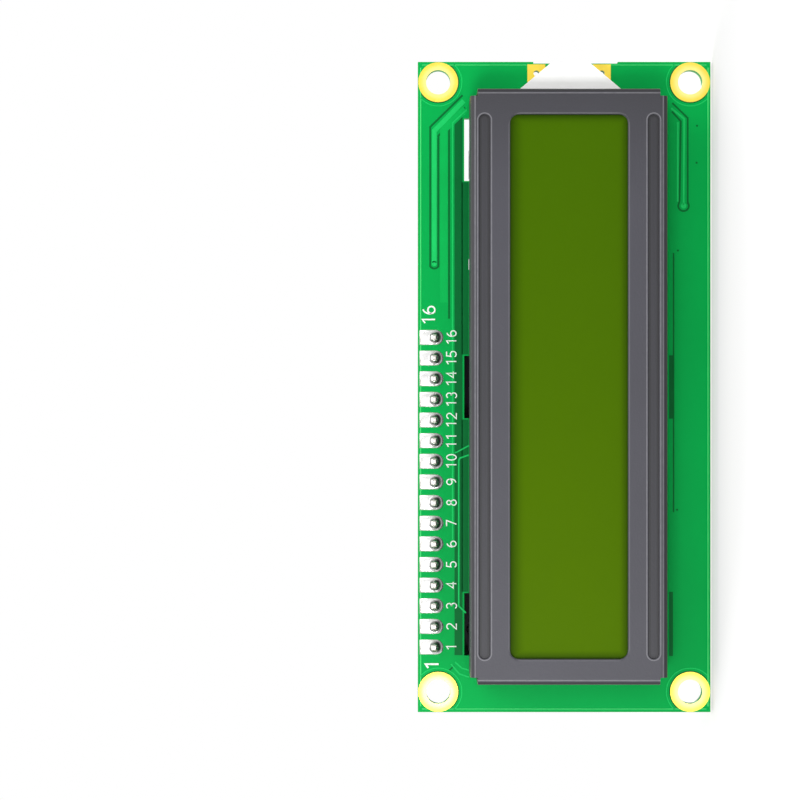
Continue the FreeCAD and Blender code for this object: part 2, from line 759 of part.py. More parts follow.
def bezel():
    """Folded metal frame with pressed beads and six twisted tabs."""
    body = new_body("bezel")
    bind(body, z="bezel_z")
    outline = sketch(body, at="-bezel_depth")
    rectangle(outline, "0", "0", "bezel_length", "bezel_height")
    shell = pad(body, outline, "bezel_depth", reverse=True)
    front = -value("bezel_depth")
    bends = dress(body, "Fillet", shell, lambda box: near(box.YMax, front), Radius="bezel_bend")
    hollow = sketch(body)
    rectangle(hollow, "0", "0", "inner_length", "inner_height")
    pocket(body, hollow, "bezel_depth - bezel_sheet", reverse=True)
    bead = sketch(body, at="glass_front - polariser_thick")
    groove = sketch(body, at="-bezel_depth")
    for z in ("bead_offset", "-bead_offset"):
        round_slot(bead, "0", z, "bead_length", "bead_width")
        round_slot(groove, "0", z, "bead_length - 2 * bead_wall", "bead_width - 2 * bead_wall")
    pad(body, bead, "polariser_thick", reverse=True)
    grooves = pocket(body, groove, "polariser_thick")
    groove_half = value("bead_width / 2 - bead_wall")
    bead_middle = value("bead_offset")
    dress(body, "Fillet", grooves,
          lambda box: near(box.YMin, front) and near(box.YMax, front)
          and abs(abs(box.Center.z) - bead_middle) < groove_half + 0.001,
          Radius="bead_edge_round")
    window = sketch(body)
    rectangle(window, "0", "0", "window_length", "window_height")
    opening = pocket(body, window)
    side, top = value("window_length") / 2, value("window_height") / 2
    corners = dress(body, "Fillet", opening,
                    lambda box: near(box.XMin, box.XMax) and near(box.ZMin, box.ZMax)
                    and near(abs(box.XMin), side) and near(abs(box.ZMin), top),
                    Radius="window_radius")
    dress(body, "Fillet", corners,
          lambda box: near(box.YMin, front) and near(box.YMax, front)
          and abs(box.Center.x) < side + 0.001 and abs(box.Center.z) < top + 0.001,
          Radius="window_edge_round")
    notches = sketch(body)
    for x in ("-bezel_length / 2", "bezel_length / 2"):
        for z in ("-bezel_height / 2", "bezel_height / 2"):
            rectangle(notches, x, z, "2 * corner_notch", "2 * corner_notch")
    pocket(body, notches)
    lug_gate = sketch(body)
    rectangle(lug_gate, "bezel_length / 2 - bezel_sheet / 2", "lug_z - bezel_z", "bezel_sheet",
              "lug_root + 2 * lug_notch_gap")
    pocket(body, lug_gate, "lug_thick + lug_notch_gap", reverse=True)
    for side, inner, outer in (("", "+", "-"), ("-", "-", "+")):
        stem = sketch(body)
        rectangle(stem, f"-tab_pitch {outer} tab_shift", f"{side}wall_z", "tab_width", "bezel_sheet")
        row(body, [pad(body, stem, "board_thick + tab_reach", reverse=True)], "X_Axis", "2 * tab_pitch", "3")
        arm = sketch(body, at="board_thick + arm_gap")
        rectangle(arm, "0", "0", "arm_length", "bezel_sheet")
        arm.AttachmentOffset.Rotation.Axis = FreeCAD.Vector(0, 0, 1)
        arm.setExpression("AttachmentOffset.Base.x", formula(f"-tab_pitch {inner} arm_swing_x"))
        arm.setExpression("AttachmentOffset.Base.y", formula(f"{side}(wall_z - arm_swing_z)"))
        arm.setExpression("AttachmentOffset.Rotation.Angle", formula("-arm_twist"))
        row(body, [pad(body, arm, "tab_reach - arm_gap", reverse=True)], "X_Axis", "2 * tab_pitch", "3")
    finish("bezel", body)


def display_stack():
    """Glass, polarisers, contact strips and diffuser behind the bezel."""
    finish("front_polariser", block("0", "glass_front - polariser_thick", "bezel_z",
                                    "window_length + 2 * polariser_lap", "polariser_thick",
                                    "window_height + 2 * polariser_lap"))
    finish("front_glass", block("0", "glass_front", "bezel_z", "glass_length", "glass_thick", "glass_height"))
    finish("rear_glass", block("0", "glass_seam", "bezel_z", "glass_length", "glass_thick", "tray_height"))
    finish("rear_polariser", block("0", "rear_glass_back", "bezel_z", "window_length + 2 * polariser_lap",
                                   "polariser_thick", "window_height + 2 * polariser_lap"))
    finish("diffuser_film", block("0", "-(backlight_thick + diffuser_thick)", "bezel_z",
                                  "window_length + 2 * diffuser_lap", "diffuser_thick",
                                  "window_height + 2 * diffuser_lap"))
    for label, side in (("upper_contact_strip", "+"), ("lower_contact_strip", "-")):
        finish(label, block("0", "glass_seam", f"bezel_z {side} bead_offset", "strip_length",
                            "-glass_seam", "strip_thick"))


def backlight():
    """White tray with its lug, the light guide, two lamps, and their leads soldered to the main board."""
    body = new_body("tray")
    bind(body, z="bezel_z")
    outline = sketch(body)
    rectangle(outline, "0", "0", "2 * tray_end", "tray_height")
    pad(body, outline, "backlight_thick")
    lug = sketch(body, at="-copper_thick")
    polygon(lug, [("tray_end", "lug_z - bezel_z - lug_root / 2"),
                  ("bezel_length / 2", "lug_z - bezel_z - lug_root / 2"),
                  ("lug_end", "lug_z - bezel_z - lug_tip / 2"),
                  ("lug_end", "lug_z - bezel_z + lug_tip / 2"),
                  ("bezel_length / 2", "lug_z - bezel_z + lug_root / 2"),
                  ("tray_end", "lug_z - bezel_z + lug_root / 2")])
    pad(body, lug, "lug_thick - copper_thick")
    hollow = sketch(body, at="-backlight_thick")
    rectangle(hollow, "0", "0", "2 * (tray_end - tray_wall)", "tray_height - 2 * tray_wall")
    pocket(body, hollow, "backlight_thick - tray_floor")
    leads, joints = [], []
    for side in ("+", "-"):
        z = f"lug_z {side} lead_pitch / 2"
        leads.append(block("lead_x", "-lug_thick / 2", z, "lead_side", "lug_thick / 2 + board_thick + lead_tail",
                           "lead_side"))
        joint = cone("lead_x", "board_thick", z, "lead_pad_radius", "lead_joint_top", "lead_joint_height")
        overhang = block("board_end - end_recess_deep + lead_pad_radius", "board_thick", z,
                         "2 * lead_pad_radius", "lead_tail", "2 * lead_pad_radius")
        joints.append(cut(joint, [leads[-1], overhang]))
    finish("backlight_leads", group(leads))
    finish("backlight_solder", group(joints))
    finish("backlight_tray", cut(body, leads))
    floor = "-(backlight_thick - guide_gap)"
    guide_end = "tray_end - tray_wall - guide_gap"
    finish("light_guide", block("-(lamp_deep + guide_gap) / 2", floor, "bezel_z",
                                f"2 * ({guide_end}) - lamp_deep - guide_gap",
                                "backlight_thick - tray_floor - guide_gap",
                                "tray_height - 2 * tray_wall - 2 * guide_gap"))
    lamps = [block(f"{guide_end} - lamp_deep / 2", "-(tray_floor + lamp_tall)",
                   f"bezel_z {side} lamp_pitch / 2", "lamp_deep", "lamp_tall", "lamp_wide") for side in "+-"]
    finish("backlight_lamps", group(lamps))


def header_row():
    """Sixteen pins through both boards, the spacer that holds them, and their solder."""
    body = new_body("pins")
    section = sketch(body, at="-pin_tip")
    rectangle(section, "pin_one_x", "row_z", "pin_side", "pin_side")
    stem = pad(body, section, "pin_tip + adapter_rear + pin_tail", reverse=True)
    tip, tail = -value("pin_tip"), value("adapter_rear + pin_tail")
    dress(body, "Chamfer", stem, lambda box: near(box.YMin, box.YMax)
          and (near(box.YMin, tip) or near(box.YMin, tail)), Size="pin_bevel")
    row(body, [], "X_Axis", "row_span", "pin_count", whole=True)
    pins = finish("header_pins", body)
    spacer = new_body("spacer")
    cells = sketch(spacer, at="board_thick + copper_thick")
    side, nick, half = "pin_pitch / 2", "spacer_nick", "spacer_width / 2"
    polygon(cells, [(f"pin_one_x - {side}", f"row_z - {half} + {nick}"),
                    (f"pin_one_x - {side} + {nick}", f"row_z - {half}"),
                    (f"pin_one_x + {side} - {nick}", f"row_z - {half}"),
                    (f"pin_one_x + {side}", f"row_z - {half} + {nick}"),
                    (f"pin_one_x + {side}", f"row_z + {half} - {nick}"),
                    (f"pin_one_x + {side} - {nick}", f"row_z + {half}"),
                    (f"pin_one_x - {side} + {nick}", f"row_z + {half}"),
                    (f"pin_one_x - {side}", f"row_z + {half} - {nick}")])
    cell = pad(spacer, cells, "spacer_height - copper_thick", reverse=True)
    row(spacer, [cell], "X_Axis", "row_span", "pin_count")
    finish("board_spacer", cut(spacer, [pins]))
    fronts = [cone(x, "-copper_thick", "row_z", "solder_radius", "solder_top_radius", "solder_height",
                   forward=True) for x in pin_places()]
    finish("front_solder_joints", cut(group(fronts), [pins]))
    rears = [cone(x, "adapter_rear", "row_z", "solder_radius", "solder_top_radius", "solder_height")
             for x in pin_places()]
    finish("rear_solder_joints", cut(group(rears), [pins]))


def adapter_board():
    """Black board with the drilled holes of its headers and trimmer."""
    body = new_body("adapter")
    outline = sketch(body, at="adapter_front")
    rectangle(outline, "adapter_left + adapter_length / 2", "adapter_top - adapter_height / 2",
              "adapter_length", "adapter_height")
    pad(body, outline, "adapter_thick", reverse=True)
    pin_hole = sketch(body)
    circle(pin_hole, "pin_one_x", "row_z", "pin_drill / 2")
    row(body, [pocket(body, pin_hole)], "X_Axis", "row_span", "pin_count")
    leg_holes = sketch(body)
    for x, z in output_legs() + jumper_legs() + trimmer_leg_places():
        circle(leg_holes, x, z, "pin_drill / 2")
    pocket(body, leg_holes)
    finish("adapter_board", body)


def output_legs():
    """Where the output header's pins go through the adapter board."""
    count = round(value("output_pins"))
    return [("output_body_x + header_body_side / 2 + leg_offset",
             f"output_z + ({number} - (output_pins - 1) / 2) * pin_pitch") for number in range(count)]


def jumper_legs():
    """Where the jumper header's pins go through the adapter board."""
    return [("jumper_body_x - header_body_side / 2 - leg_offset", f"jumper_z {side} pin_pitch / 2")
            for side in "+-"]


def trimmer_leg_places():
    """Where the trimmer's legs go through the adapter board."""
    return [("trimmer_x - leg_pitch", "trimmer_z - leg_pitch"), ("trimmer_x + leg_pitch", "trimmer_z"),
            ("trimmer_x - leg_pitch", "trimmer_z + leg_pitch")]


def angled_pins(name, leg, reach, facing, first_z, span, count):
    """Right-angle pins: up through the board from the leg's x, then level to the tip's x."""
    body = new_body(name)
    profile = sketch(body, "XY_Plane", at=first_z)
    half = "pin_side / 2"
    polygon(profile, [(f"{leg} + ({facing}) * -{half}", "adapter_front - leg_tail"),
                      (f"{leg} + ({facing}) * {half}", "adapter_front - leg_tail"),
                      (f"{leg} + ({facing}) * {half}", f"pin_height - {half}"),
                      (reach, f"pin_height - {half}"),
                      (reach, f"pin_height + {half}"),
                      (f"{leg} + ({facing}) * -{half}", f"pin_height + {half}")])
    bar = pad(body, profile, "pin_side", midplane=True)
    corner = value(f"{leg} + ({facing}) * -{half}")
    top = value(f"pin_height + {half}")
    dress(body, "Fillet", bar, lambda box: near(box.XMin, corner) and near(box.XMax, corner)
          and near(box.YMin, top) and near(box.YMax, top), Radius="bend_radius")
    row(body, [], "Z_Axis", span, count, whole=True)
    return body


def header_body(name, x, z, count):
    """Nicked plastic bar that stands on the adapter board, less its pins' space."""
    body = new_body(name)
    outline = sketch(body, "YZ_Plane", at=f"{x} - header_body_side / 2")
    low, high = f"{z} - {count} * pin_pitch / 2", f"{z} + {count} * pin_pitch / 2"
    base, top, nick = "adapter_rear", "adapter_rear + header_body_side", "header_body_nick"
    polygon(outline, [(base, low), (f"{top} - {nick}", low), (top, f"{low} + {nick}"),
                      (top, f"{high} - {nick}"), (f"{top} - {nick}", high), (base, high)])
    pad(body, outline, "header_body_side")
    return body


def headers():
    """Four-pin output header and two-pin jumper header."""
    leg = "output_body_x + header_body_side / 2 + leg_offset"
    tip = "output_body_x - header_body_side / 2 - output_pin_reach"
    low = "output_z - (output_pins - 1) * pin_pitch / 2"
    pins = angled_pins("output", leg, tip, "-1", low, "(output_pins - 1) * pin_pitch", "output_pins")
    finish("output_header_pins", pins)
    finish("output_header_body", cut(header_body("output_bar", "output_body_x", "output_z", "output_pins"),
                                     [pins]))
    leg = "jumper_body_x - header_body_side / 2 - leg_offset"
    tip = "jumper_body_x + header_body_side / 2 + jumper_pin_reach"
    pins = angled_pins("jumper", leg, tip, "1", "jumper_z - pin_pitch / 2", "pin_pitch", "2")
    finish("jumper_header_pins", pins)
    finish("jumper_header_body", cut(header_body("jumper_bar", "jumper_body_x", "jumper_z", "2"), [pins]))


def trimmer():
    """Square trimmer with a dial round a slotted rotor, and three legs."""
    body = new_body("trimmer")
    bind(body, x="trimmer_x", y="adapter_rear", z="trimmer_z")
    outline = sketch(body)
    rectangle(outline, "0", "0", "trimmer_length", "trimmer_width")
    case = pad(body, outline, "trimmer_height", reverse=True)
    top = value("trimmer_height")
    dress(body, "Chamfer", case, lambda box: near(box.YMin, top), Size="trimmer_chamfer")
    seat = sketch(body, at="trimmer_height")
    circle(seat, "0", "0", "rotor_radius + rotor_gap")
    pocket(body, seat, "rotor_sink + rotor_thick + rotor_gap", reverse=True)
    bore = sketch(body, at="trimmer_height")
    circle(bore, "0", "0", "spindle_radius + rotor_gap")
    pocket(body, bore, "rotor_sink + rotor_thick + spindle_long + 2 * rotor_gap", reverse=True)
    mark = sketch(body, at="trimmer_height")
    rectangle(mark, "(dial_inner + dial_outer) / 2", "0", "dial_outer - dial_inner", "dial_mark_wide")
    dial_mark = pocket(body, mark, "dial_mark_deep", reverse=True)
    dial = body.newObject("PartDesign::PolarPattern", "dial")
    dial.Originals = [dial_mark]
    dial.Axis = (origin_part(body, "Y_Axis"), [""])
    dial.Angle = 360
    bind(dial, Occurrences="dial_marks")
    body.Tip = dial
    legs = [block(x, "adapter_front - leg_tail", z, "pin_side", "adapter_thick + leg_tail", "pin_side / 2")
            for x, z in trimmer_leg_places()]
    finish("trimmer_legs", group(legs))
    finish("trimmer_body", body)
    rotor = new_body("rotor")
    bind(rotor, x="trimmer_x", y="trimmer_top - rotor_sink", z="trimmer_z")
    face = sketch(rotor)
    circle(face, "0", "0", "rotor_radius")
    pad(rotor, face, "rotor_thick")
    stem = sketch(rotor, at="-rotor_thick")
    circle(stem, "0", "0", "spindle_radius")
    pad(rotor, stem, "spindle_long")
    for length, width in (("rotor_slot_long", "rotor_slot_wide"), ("rotor_slot_wide", "rotor_slot_long")):
        slot = sketch(rotor)
        rectangle(slot, "0", "0", length, width)
        pocket(rotor, slot, "rotor_slot_deep", reverse=True)
    finish("trimmer_rotor", rotor)


def expander():
    """Wide sixteen-lead chip: a moulded body that tapers from its parting line, and gull-wing leads."""
    leads = new_body("leads")
    bind(leads, x="expander_x", y="adapter_rear", z="expander_z")
    foot, half, mid = "lead_span / 2", "expander_width / 2", "lead_mid"
    for side in ("", "-"):
        profile = sketch(leads, "XY_Plane", at="-(lead_count - 1) * lead_step / 2")
        outline = [(f"{half} - lead_sunk", f"{mid} + lead_thick / 2"),
                   (f"{half} + lead_shoulder", f"{mid} + lead_thick / 2"),
                   (f"{foot} - lead_foot + lead_thick", "lead_thick"),
                   (foot, "lead_thick"),
                   (foot, "0"),
                   (f"{foot} - lead_foot", "0"),
                   (f"{half} + lead_shoulder - lead_thick", f"{mid} - lead_thick / 2"),
                   (f"{half} - lead_sunk", f"{mid} - lead_thick / 2")]
        polygon(profile, [(f"{side}({across})", along) for across, along in outline])
        lead = pad(leads, profile, "lead_wide", midplane=True)
        row(leads, [lead], "Z_Axis", "(lead_count - 1) * lead_step", "lead_count")
    finish("expander_leads", leads)
    body = new_body("moulding")
    bind(body, x="expander_x", y="adapter_rear", z="expander_z")
    for rearward in (True, False):
        parting = sketch(body, at="lead_mid")
        rectangle(parting, "0", "0", "expander_width", "expander_length")
        pad(body, parting, "expander_height / 2", reverse=rearward, taper="-expander_taper")
    dimple = sketch(body, at="expander_standoff + expander_height")
    circle(dimple, "-expander_width / 2 + expander_dimple_margin",
           "-expander_length / 2 + expander_dimple_margin", "expander_dimple")
    pocket(body, dimple, "expander_dimple_deep", reverse=True)
    finish("expander_body", cut(body, [leads]))


def transistor():
    """Three-lead surface-mount transistor."""
    leads = []
    reach = "(transistor_span - transistor_width) / 2 + transistor_lead_thick"
    for x, side in (("transistor_x", "+"), ("transistor_x - transistor_pitch / 2", "-"),
                    ("transistor_x + transistor_pitch / 2", "-")):
        z = f"transistor_z {side} (transistor_width / 2 + ({reach}) / 2 - transistor_lead_thick)"
        leads.append(block(x, "adapter_rear", z, "transistor_lead_wide", "transistor_lead_thick", reach))
    tips = group(leads)
    finish("transistor_leads", tips)
    case = block("transistor_x", "adapter_rear + transistor_lead_thick", "transistor_z", "transistor_length",
                 "transistor_height - transistor_lead_thick", "transistor_width")
    finish("transistor_body", case)


def jumper_cap():
    """Plastic cap with a view window in its rear wall, and the folded metal clip inside it."""
    width = "2 * pin_pitch"
    body = new_body("cap")
    outline = sketch(body, at="pin_height - cap_height / 2")
    rectangle(outline, "cap_start + cap_length / 2", "jumper_z", "cap_length", width)
    shell = pad(body, outline, "cap_height", reverse=True)
    far = value("cap_start + cap_length")
    low, high = value(f"jumper_z - {width} / 2"), value(f"jumper_z + {width} / 2")
    rounded = dress(body, "Fillet", shell, lambda box: near(box.XMin, far) and near(box.XMax, far)
                    and near(box.ZMin, box.ZMax) and (near(box.ZMin, low) or near(box.ZMin, high)),
                    Radius="cap_round")
    mouth = sketch(body, "YZ_Plane", at="cap_start")
    rectangle(mouth, "pin_height", "jumper_z", "2 * (clip_reach + clip_gap)", f"{width} - 2 * cap_wall")
    pocket(body, mouth, "cap_length - cap_wall", reverse=True)
    window = sketch(body, at="pin_height + cap_height / 2")
    rectangle(window, "cap_start + cap_length - cap_window_margin - cap_window_long / 2", "jumper_z",
              "cap_window_long", "cap_window_wide")
    pocket(body, window, "cap_height / 2", reverse=True)
    finish("jumper_cap", body)
    clip = new_body("clip")
    start, end = "cap_start + clip_inset", "cap_start + cap_length - cap_wall - clip_gap"
    profile = sketch(clip, "XY_Plane", at="jumper_z")
    out, inner = "clip_reach", "clip_reach - clip_thick"
    polygon(profile, [(start, f"pin_height - ({out})"), (end, f"pin_height - ({out})"),
                      (end, f"pin_height + ({out})"), (start, f"pin_height + ({out})"),
                      (start, f"pin_height + ({inner})"), (f"{end} - clip_thick", f"pin_height + ({inner})"),
                      (f"{end} - clip_thick", f"pin_height - ({inner})"),
                      (start, f"pin_height - ({inner})")])
    pad(clip, profile, f"{width} - 2 * cap_wall - 2 * clip_gap", midplane=True)
    split = sketch(clip)
    rectangle(split, "cap_start + clip_inset + cap_length / 4", "jumper_z", "cap_length / 2",
              "pin_pitch - 2 * pin_side")
    pocket(clip, split)
    finish("jumper_clip", clip)


def address_pads():
    """Three open pairs of address pads on the adapter board."""
    pads = []
    for step in ("-1", "0", "1"):
        for side in "+-":
            pads.append(block(f"address_x + {step} * address_pitch", "adapter_rear",
                              f"address_z {side} address_split / 2", "address_pad_side", "copper_thick",
                              "address_pad_side"))
    finish("address_pads", group(pads))


def underside_solder():
    """Solder round the legs of the headers and trimmer, in front of the adapter board."""
    legs = [parts["output_header_pins"], parts["jumper_header_pins"], parts["trimmer_legs"]]
    joints = [cone(x, "adapter_front", z, "solder_radius", "solder_top_radius", "solder_height", forward=True)
              for x, z in output_legs() + jumper_legs() + trimmer_leg_places()]
    finish("underside_solder_joints", cut(group(joints), legs))


def check_and_write():
    """Stop on any failed object or bad shape, then write each sub-part to its own file."""
    doc.recompute()
    for item in doc.Objects:
        if "Invalid" in item.State or "Error" in item.State:
            raise RuntimeError(f"{item.Name} ({item.Label}) failed: {item.State}")
    os.makedirs("parts", exist_ok=True)
    for label, item in parts.items():
        if item.Shape.isNull() or not item.Shape.isValid() or not item.Shape.Solids:
            raise RuntimeError(f"{label} has no valid solid")
        item.Shape.exportStep(f"parts/{label}.step")
        box = item.Shape.BoundBox
        print(f"{label}: {len(item.Shape.Solids)} solids, {item.Shape.Volume:.3f} mm3, "
              f"x {box.XMin:.2f} {box.XMax:.2f}, y {box.YMin:.2f} {box.YMax:.2f}, z {box.ZMin:.2f} {box.ZMax:.2f}")


main_board()
mounting_hole_plating()
header_pads("front_header_pads", "-copper_thick")
header_pads("rear_header_pads", "board_thick")
bare_gold_pads()
solder_link()
resin_drop("controller", "controller_x", "controller_z", "controller_radius")
resin_drop("driver", "driver_x", "driver_z", "driver_radius")
small_parts()
bezel()
display_stack()
backlight()
header_row()
adapter_board()
headers()
trimmer()
expander()
transistor()
jumper_cap()
address_pads()
underside_solder()
check_and_write()
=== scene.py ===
import json
import math

import bmesh
import bpy
import numpy as np
from bpy.props import FloatProperty, FloatVectorProperty, PointerProperty
from bpy.types import Operator, Panel, PropertyGroup
from mathutils import Matrix, Vector

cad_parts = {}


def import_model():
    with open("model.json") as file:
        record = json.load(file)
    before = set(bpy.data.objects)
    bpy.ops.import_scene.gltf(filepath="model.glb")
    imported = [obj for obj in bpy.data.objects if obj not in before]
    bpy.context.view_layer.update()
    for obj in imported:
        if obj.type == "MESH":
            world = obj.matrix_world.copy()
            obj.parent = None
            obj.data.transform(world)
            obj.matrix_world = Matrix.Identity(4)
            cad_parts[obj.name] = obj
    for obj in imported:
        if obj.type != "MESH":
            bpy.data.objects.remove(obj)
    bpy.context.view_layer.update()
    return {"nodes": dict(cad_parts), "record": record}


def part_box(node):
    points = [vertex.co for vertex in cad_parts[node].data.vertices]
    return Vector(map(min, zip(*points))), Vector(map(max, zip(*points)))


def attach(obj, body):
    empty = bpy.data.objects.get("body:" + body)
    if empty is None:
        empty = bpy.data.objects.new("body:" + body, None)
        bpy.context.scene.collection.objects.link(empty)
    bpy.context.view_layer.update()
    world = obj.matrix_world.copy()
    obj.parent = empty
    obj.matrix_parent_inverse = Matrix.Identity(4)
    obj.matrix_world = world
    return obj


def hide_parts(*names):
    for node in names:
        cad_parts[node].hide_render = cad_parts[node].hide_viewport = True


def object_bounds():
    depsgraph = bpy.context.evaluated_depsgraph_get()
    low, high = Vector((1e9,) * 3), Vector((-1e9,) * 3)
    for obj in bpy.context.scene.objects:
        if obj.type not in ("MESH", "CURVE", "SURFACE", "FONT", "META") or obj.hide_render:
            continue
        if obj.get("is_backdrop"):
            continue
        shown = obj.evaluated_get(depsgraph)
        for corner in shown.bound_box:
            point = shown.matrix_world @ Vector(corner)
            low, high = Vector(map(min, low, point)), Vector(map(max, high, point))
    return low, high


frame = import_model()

MM = 0.001
WHITE = (1.0, 1.0, 1.0, 1.0)

bl_info = {
    "name": "Character display module",
    "version": (1, 0, 0),
    "blender": (4, 5, 0),
    "location": "3D View > Sidebar > Display",
    "description": "Dresses the display module: board relief, print, solder, parts, finishes and stage",
    "category": "Object",
}


# Sizes and colours that a user would change

def length(name, description, millimetres):
    """A size property, shown in the scene's own unit of length."""
    return FloatProperty(name=name, description=description, default=millimetres * MM, unit="LENGTH",
                         precision=6)


def colour(name, description, red, green, blue):
    """A colour property."""
    return FloatVectorProperty(name=name, description=description, default=(red, green, blue), size=3,
                               min=0.0, max=1.0, subtype="COLOR")


class DisplayBoardLook(PropertyGroup):
    """Relief and colours of the main board."""

    mask: colour("Mask", "Green solder mask over copper", 0.001, 0.340, 0.062)
    bare_mask: colour("Bare mask", "Solder mask where the copper is etched away", 0.0005, 0.125, 0.026)
    trace: colour("Trace", "Solder mask over a trace", 0.010, 0.50, 0.110)
    # Lit trace is a brighter mask colour that paints the highlights on the traces along the board's edges.
    highlight_trace: colour("Lit trace", "Solder mask on the long traces beside the board's edge", 0.06, 0.60, 0.16)
    laminate: colour("Laminate", "Sawn glass laminate at the board's rim", 0.30, 0.36, 0.10)
    ink: colour("Ink", "White print on both boards", 0.80, 0.83, 0.80)
    gap_height: length("Gap height", "Height of the etched gaps' skin over the board", 0.008)
    trace_height: length("Trace height", "Height of a trace over the board", 0.035)
    ink_height: length("Ink height", "Height of the print over the board", 0.045)


class DisplayPartsLook(PropertyGroup):
    """Colours of the display, its frame and the parts on the boards."""

    glow: colour("Display", "Yellow-green of the display's middle", 0.046, 0.112, 0.0002)
    # The display rim colour is the painted shadow of the frame round the window.
    painted_rim_shadow: colour("Display rim", "Darker green round the display's window", 0.020, 0.052, 0.0002)
    frame_paint: colour("Frame", "Dark coating of the folded frame", 0.041, 0.040, 0.052)
    black_mask: colour("Black mask", "Solder mask of the adapter board", 0.0116, 0.0116, 0.0176)
    gold: colour("Gold", "Gold plating", 0.90, 0.68, 0.085)
    tin: colour("Tin", "Solder and tinned copper", 0.74, 0.74, 0.73)
    blue: colour("Blue", "Trimmer case", 0.045, 0.30, 0.92)
    chip: colour("Chip", "Moulded chip case", 0.040, 0.038, 0.042)


class DisplaySolderLook(PropertyGroup):
    """Sizes of the solder and resin."""

    joint_waist: length("Joint waist", "Radius of a joint where it meets the pin", 0.36)
    joint_foot: length("Joint foot", "Radius of a joint on its pad", 0.84)
    drop_edge: length("Drop edge", "Thickness of a resin drop's rim", 0.10)


class DisplayStageLook(PropertyGroup):
    """Camera: its lens, its distance and the place it looks at."""

    lens: FloatProperty(name="Lens", description="Camera lens", default=128.0, unit="CAMERA")
    distance: length("Distance", "From the camera to the board's front face", 350.0)
    aim_x: length("Aim X", "Place along X that the camera looks at", -1.6)
    aim_z: length("Aim Z", "Place along Z that the camera looks at", 20.2)


# Shader nodes

class Value:
    """One output socket of a shader, so that a sum on it is written as a plain expression."""

    def __init__(self, shader, socket):
        self.shader = shader
        self.socket = socket

    def maths(self, operation, first, second=0.0):
        return self.shader.node("Math", {"operation": operation}, {0: first, 1: second})

    def __add__(self, other):
        return self.maths("ADD", self, other)

    def __radd__(self, other):
        return self.maths("ADD", other, self)

    def __sub__(self, other):
        return self.maths("SUBTRACT", self, other)

    def __rsub__(self, other):
        return self.maths("SUBTRACT", other, self)

    def __mul__(self, other):
        return self.maths("MULTIPLY", self, other)

    def __truediv__(self, other):
        return self.maths("DIVIDE", self, other)

    def __abs__(self):
        return self.maths("ABSOLUTE", self)

    def low(self, other):
        return self.maths("MINIMUM", self, other)

    def high(self, other):
        return self.maths("MAXIMUM", self, other)

    def power(self, other):
        return self.maths("POWER", self, other)

    def fraction(self):
        return self.maths("FRACT", self)

    def above(self, edge, softness):
        """0 below the edge, 1 above it, with a smooth step of the given half width."""
        inputs = {0: self, 1: edge - softness, 2: edge + softness, 3: 0.0, 4: 1.0}
        return self.shader.node("MapRange", {"interpolation_type": "SMOOTHSTEP"}, inputs)


class Shader:
    """A material or a world under construction. Places are object coordinates in millimetres."""

    def __init__(self, name, holder=None):
        self.holder = holder or bpy.data.materials.new(name)
        self.holder.use_nodes = True
        self.tree = self.holder.node_tree
        self.tree.nodes.clear()
        self.place = self.node("TexCoord", output=3)
        scaled = self.node("VectorMath", {"operation": "SCALE"}, {0: self.place, 3: 1.0 / MM})
        axes = [self.node("SeparateXYZ", inputs={0: scaled}, output=axis) for axis in range(3)]
        self.x, self.y, self.z = axes

    def node(self, kind, settings=None, inputs=None, output=0):
        """Adds a node, gives it its settings and then its sockets' values or links, and returns an output."""
        made = self.tree.nodes.new("ShaderNode" + kind)
        for name, setting in (settings or {}).items():
            setattr(made, name, setting)
        for name, given in (inputs or {}).items():
            if isinstance(given, Value):
                self.tree.links.new(given.socket, made.inputs[name])
            else:
                made.inputs[name].default_value = given
        return Value(self, made.outputs[output])

    def mix(self, share, first, second):
        """Goes from the first colour to the second as the share goes from 0 to 1."""
        inputs = {0: share, 6: opaque(first), 7: opaque(second)}
        return self.node("Mix", {"data_type": "RGBA"}, inputs, 2)

    def noise(self, per_mm, detail=2.0, stretch=(1.0, 1.0, 1.0)):
        """Smooth noise from 0 to 1, with so many waves in a millimetre along each axis."""
        turned = self.node("Mapping", inputs={0: self.place, 3: stretch})
        return self.node("TexNoise", inputs={0: turned, "Scale": per_mm / MM, "Detail": detail})

    def inside(self, low, high, softness):
        """1 inside a box on the X Z plane and 0 outside it."""
        return (self.x.above(low[0], softness) * (1.0 - self.x.above(high[0], softness))
                * self.z.above(low[1], softness) * (1.0 - self.z.above(high[1], softness)))

    def surface(self, base, rough, metal=0.0, coat=0.0, gloss=0.5, grain=None, depth=0.02, **constant):
        """Ends the material in one principled surface. The grain is a height, as deep as depth in mm."""
        inputs = {"Base Color": opaque(base), "Roughness": rough, "Metallic": metal, "Coat Weight": coat,
                  "Specular IOR Level": gloss}
        for name, given in constant.items():
            inputs[name.replace("_", " ").title()] = given
        if grain is not None:
            relief = {"Strength": 1.0, "Distance": depth * MM, "Height": grain}
            inputs["Normal"] = self.node("Bump", inputs=relief)
        return self.end(self.node("BsdfPrincipled", inputs=inputs))

    def end(self, surface, kind="OutputMaterial"):
        """Links a surface to the output and returns the material or the world."""
        output = self.tree.nodes.new("ShaderNode" + kind)
        self.tree.links.new(surface.socket, output.inputs["Surface"])
        return self.holder


def opaque(given):
    """A colour with its alpha, or a socket as it is."""
    if isinstance(given, Value):
        return given
    return (given[0], given[1], given[2], 1.0)


def shade(given, factor):
    """A colour made lighter or darker by one factor."""
    return tuple(min(1.0, part * factor) for part in given)


# Finishes. Those with a pattern of their own have a function each, and the plain ones are rows of one table

SAWN_DEPTH = 0.04


def board_look():
    return bpy.context.scene.display_board


def parts_look():
    return bpy.context.scene.display_parts


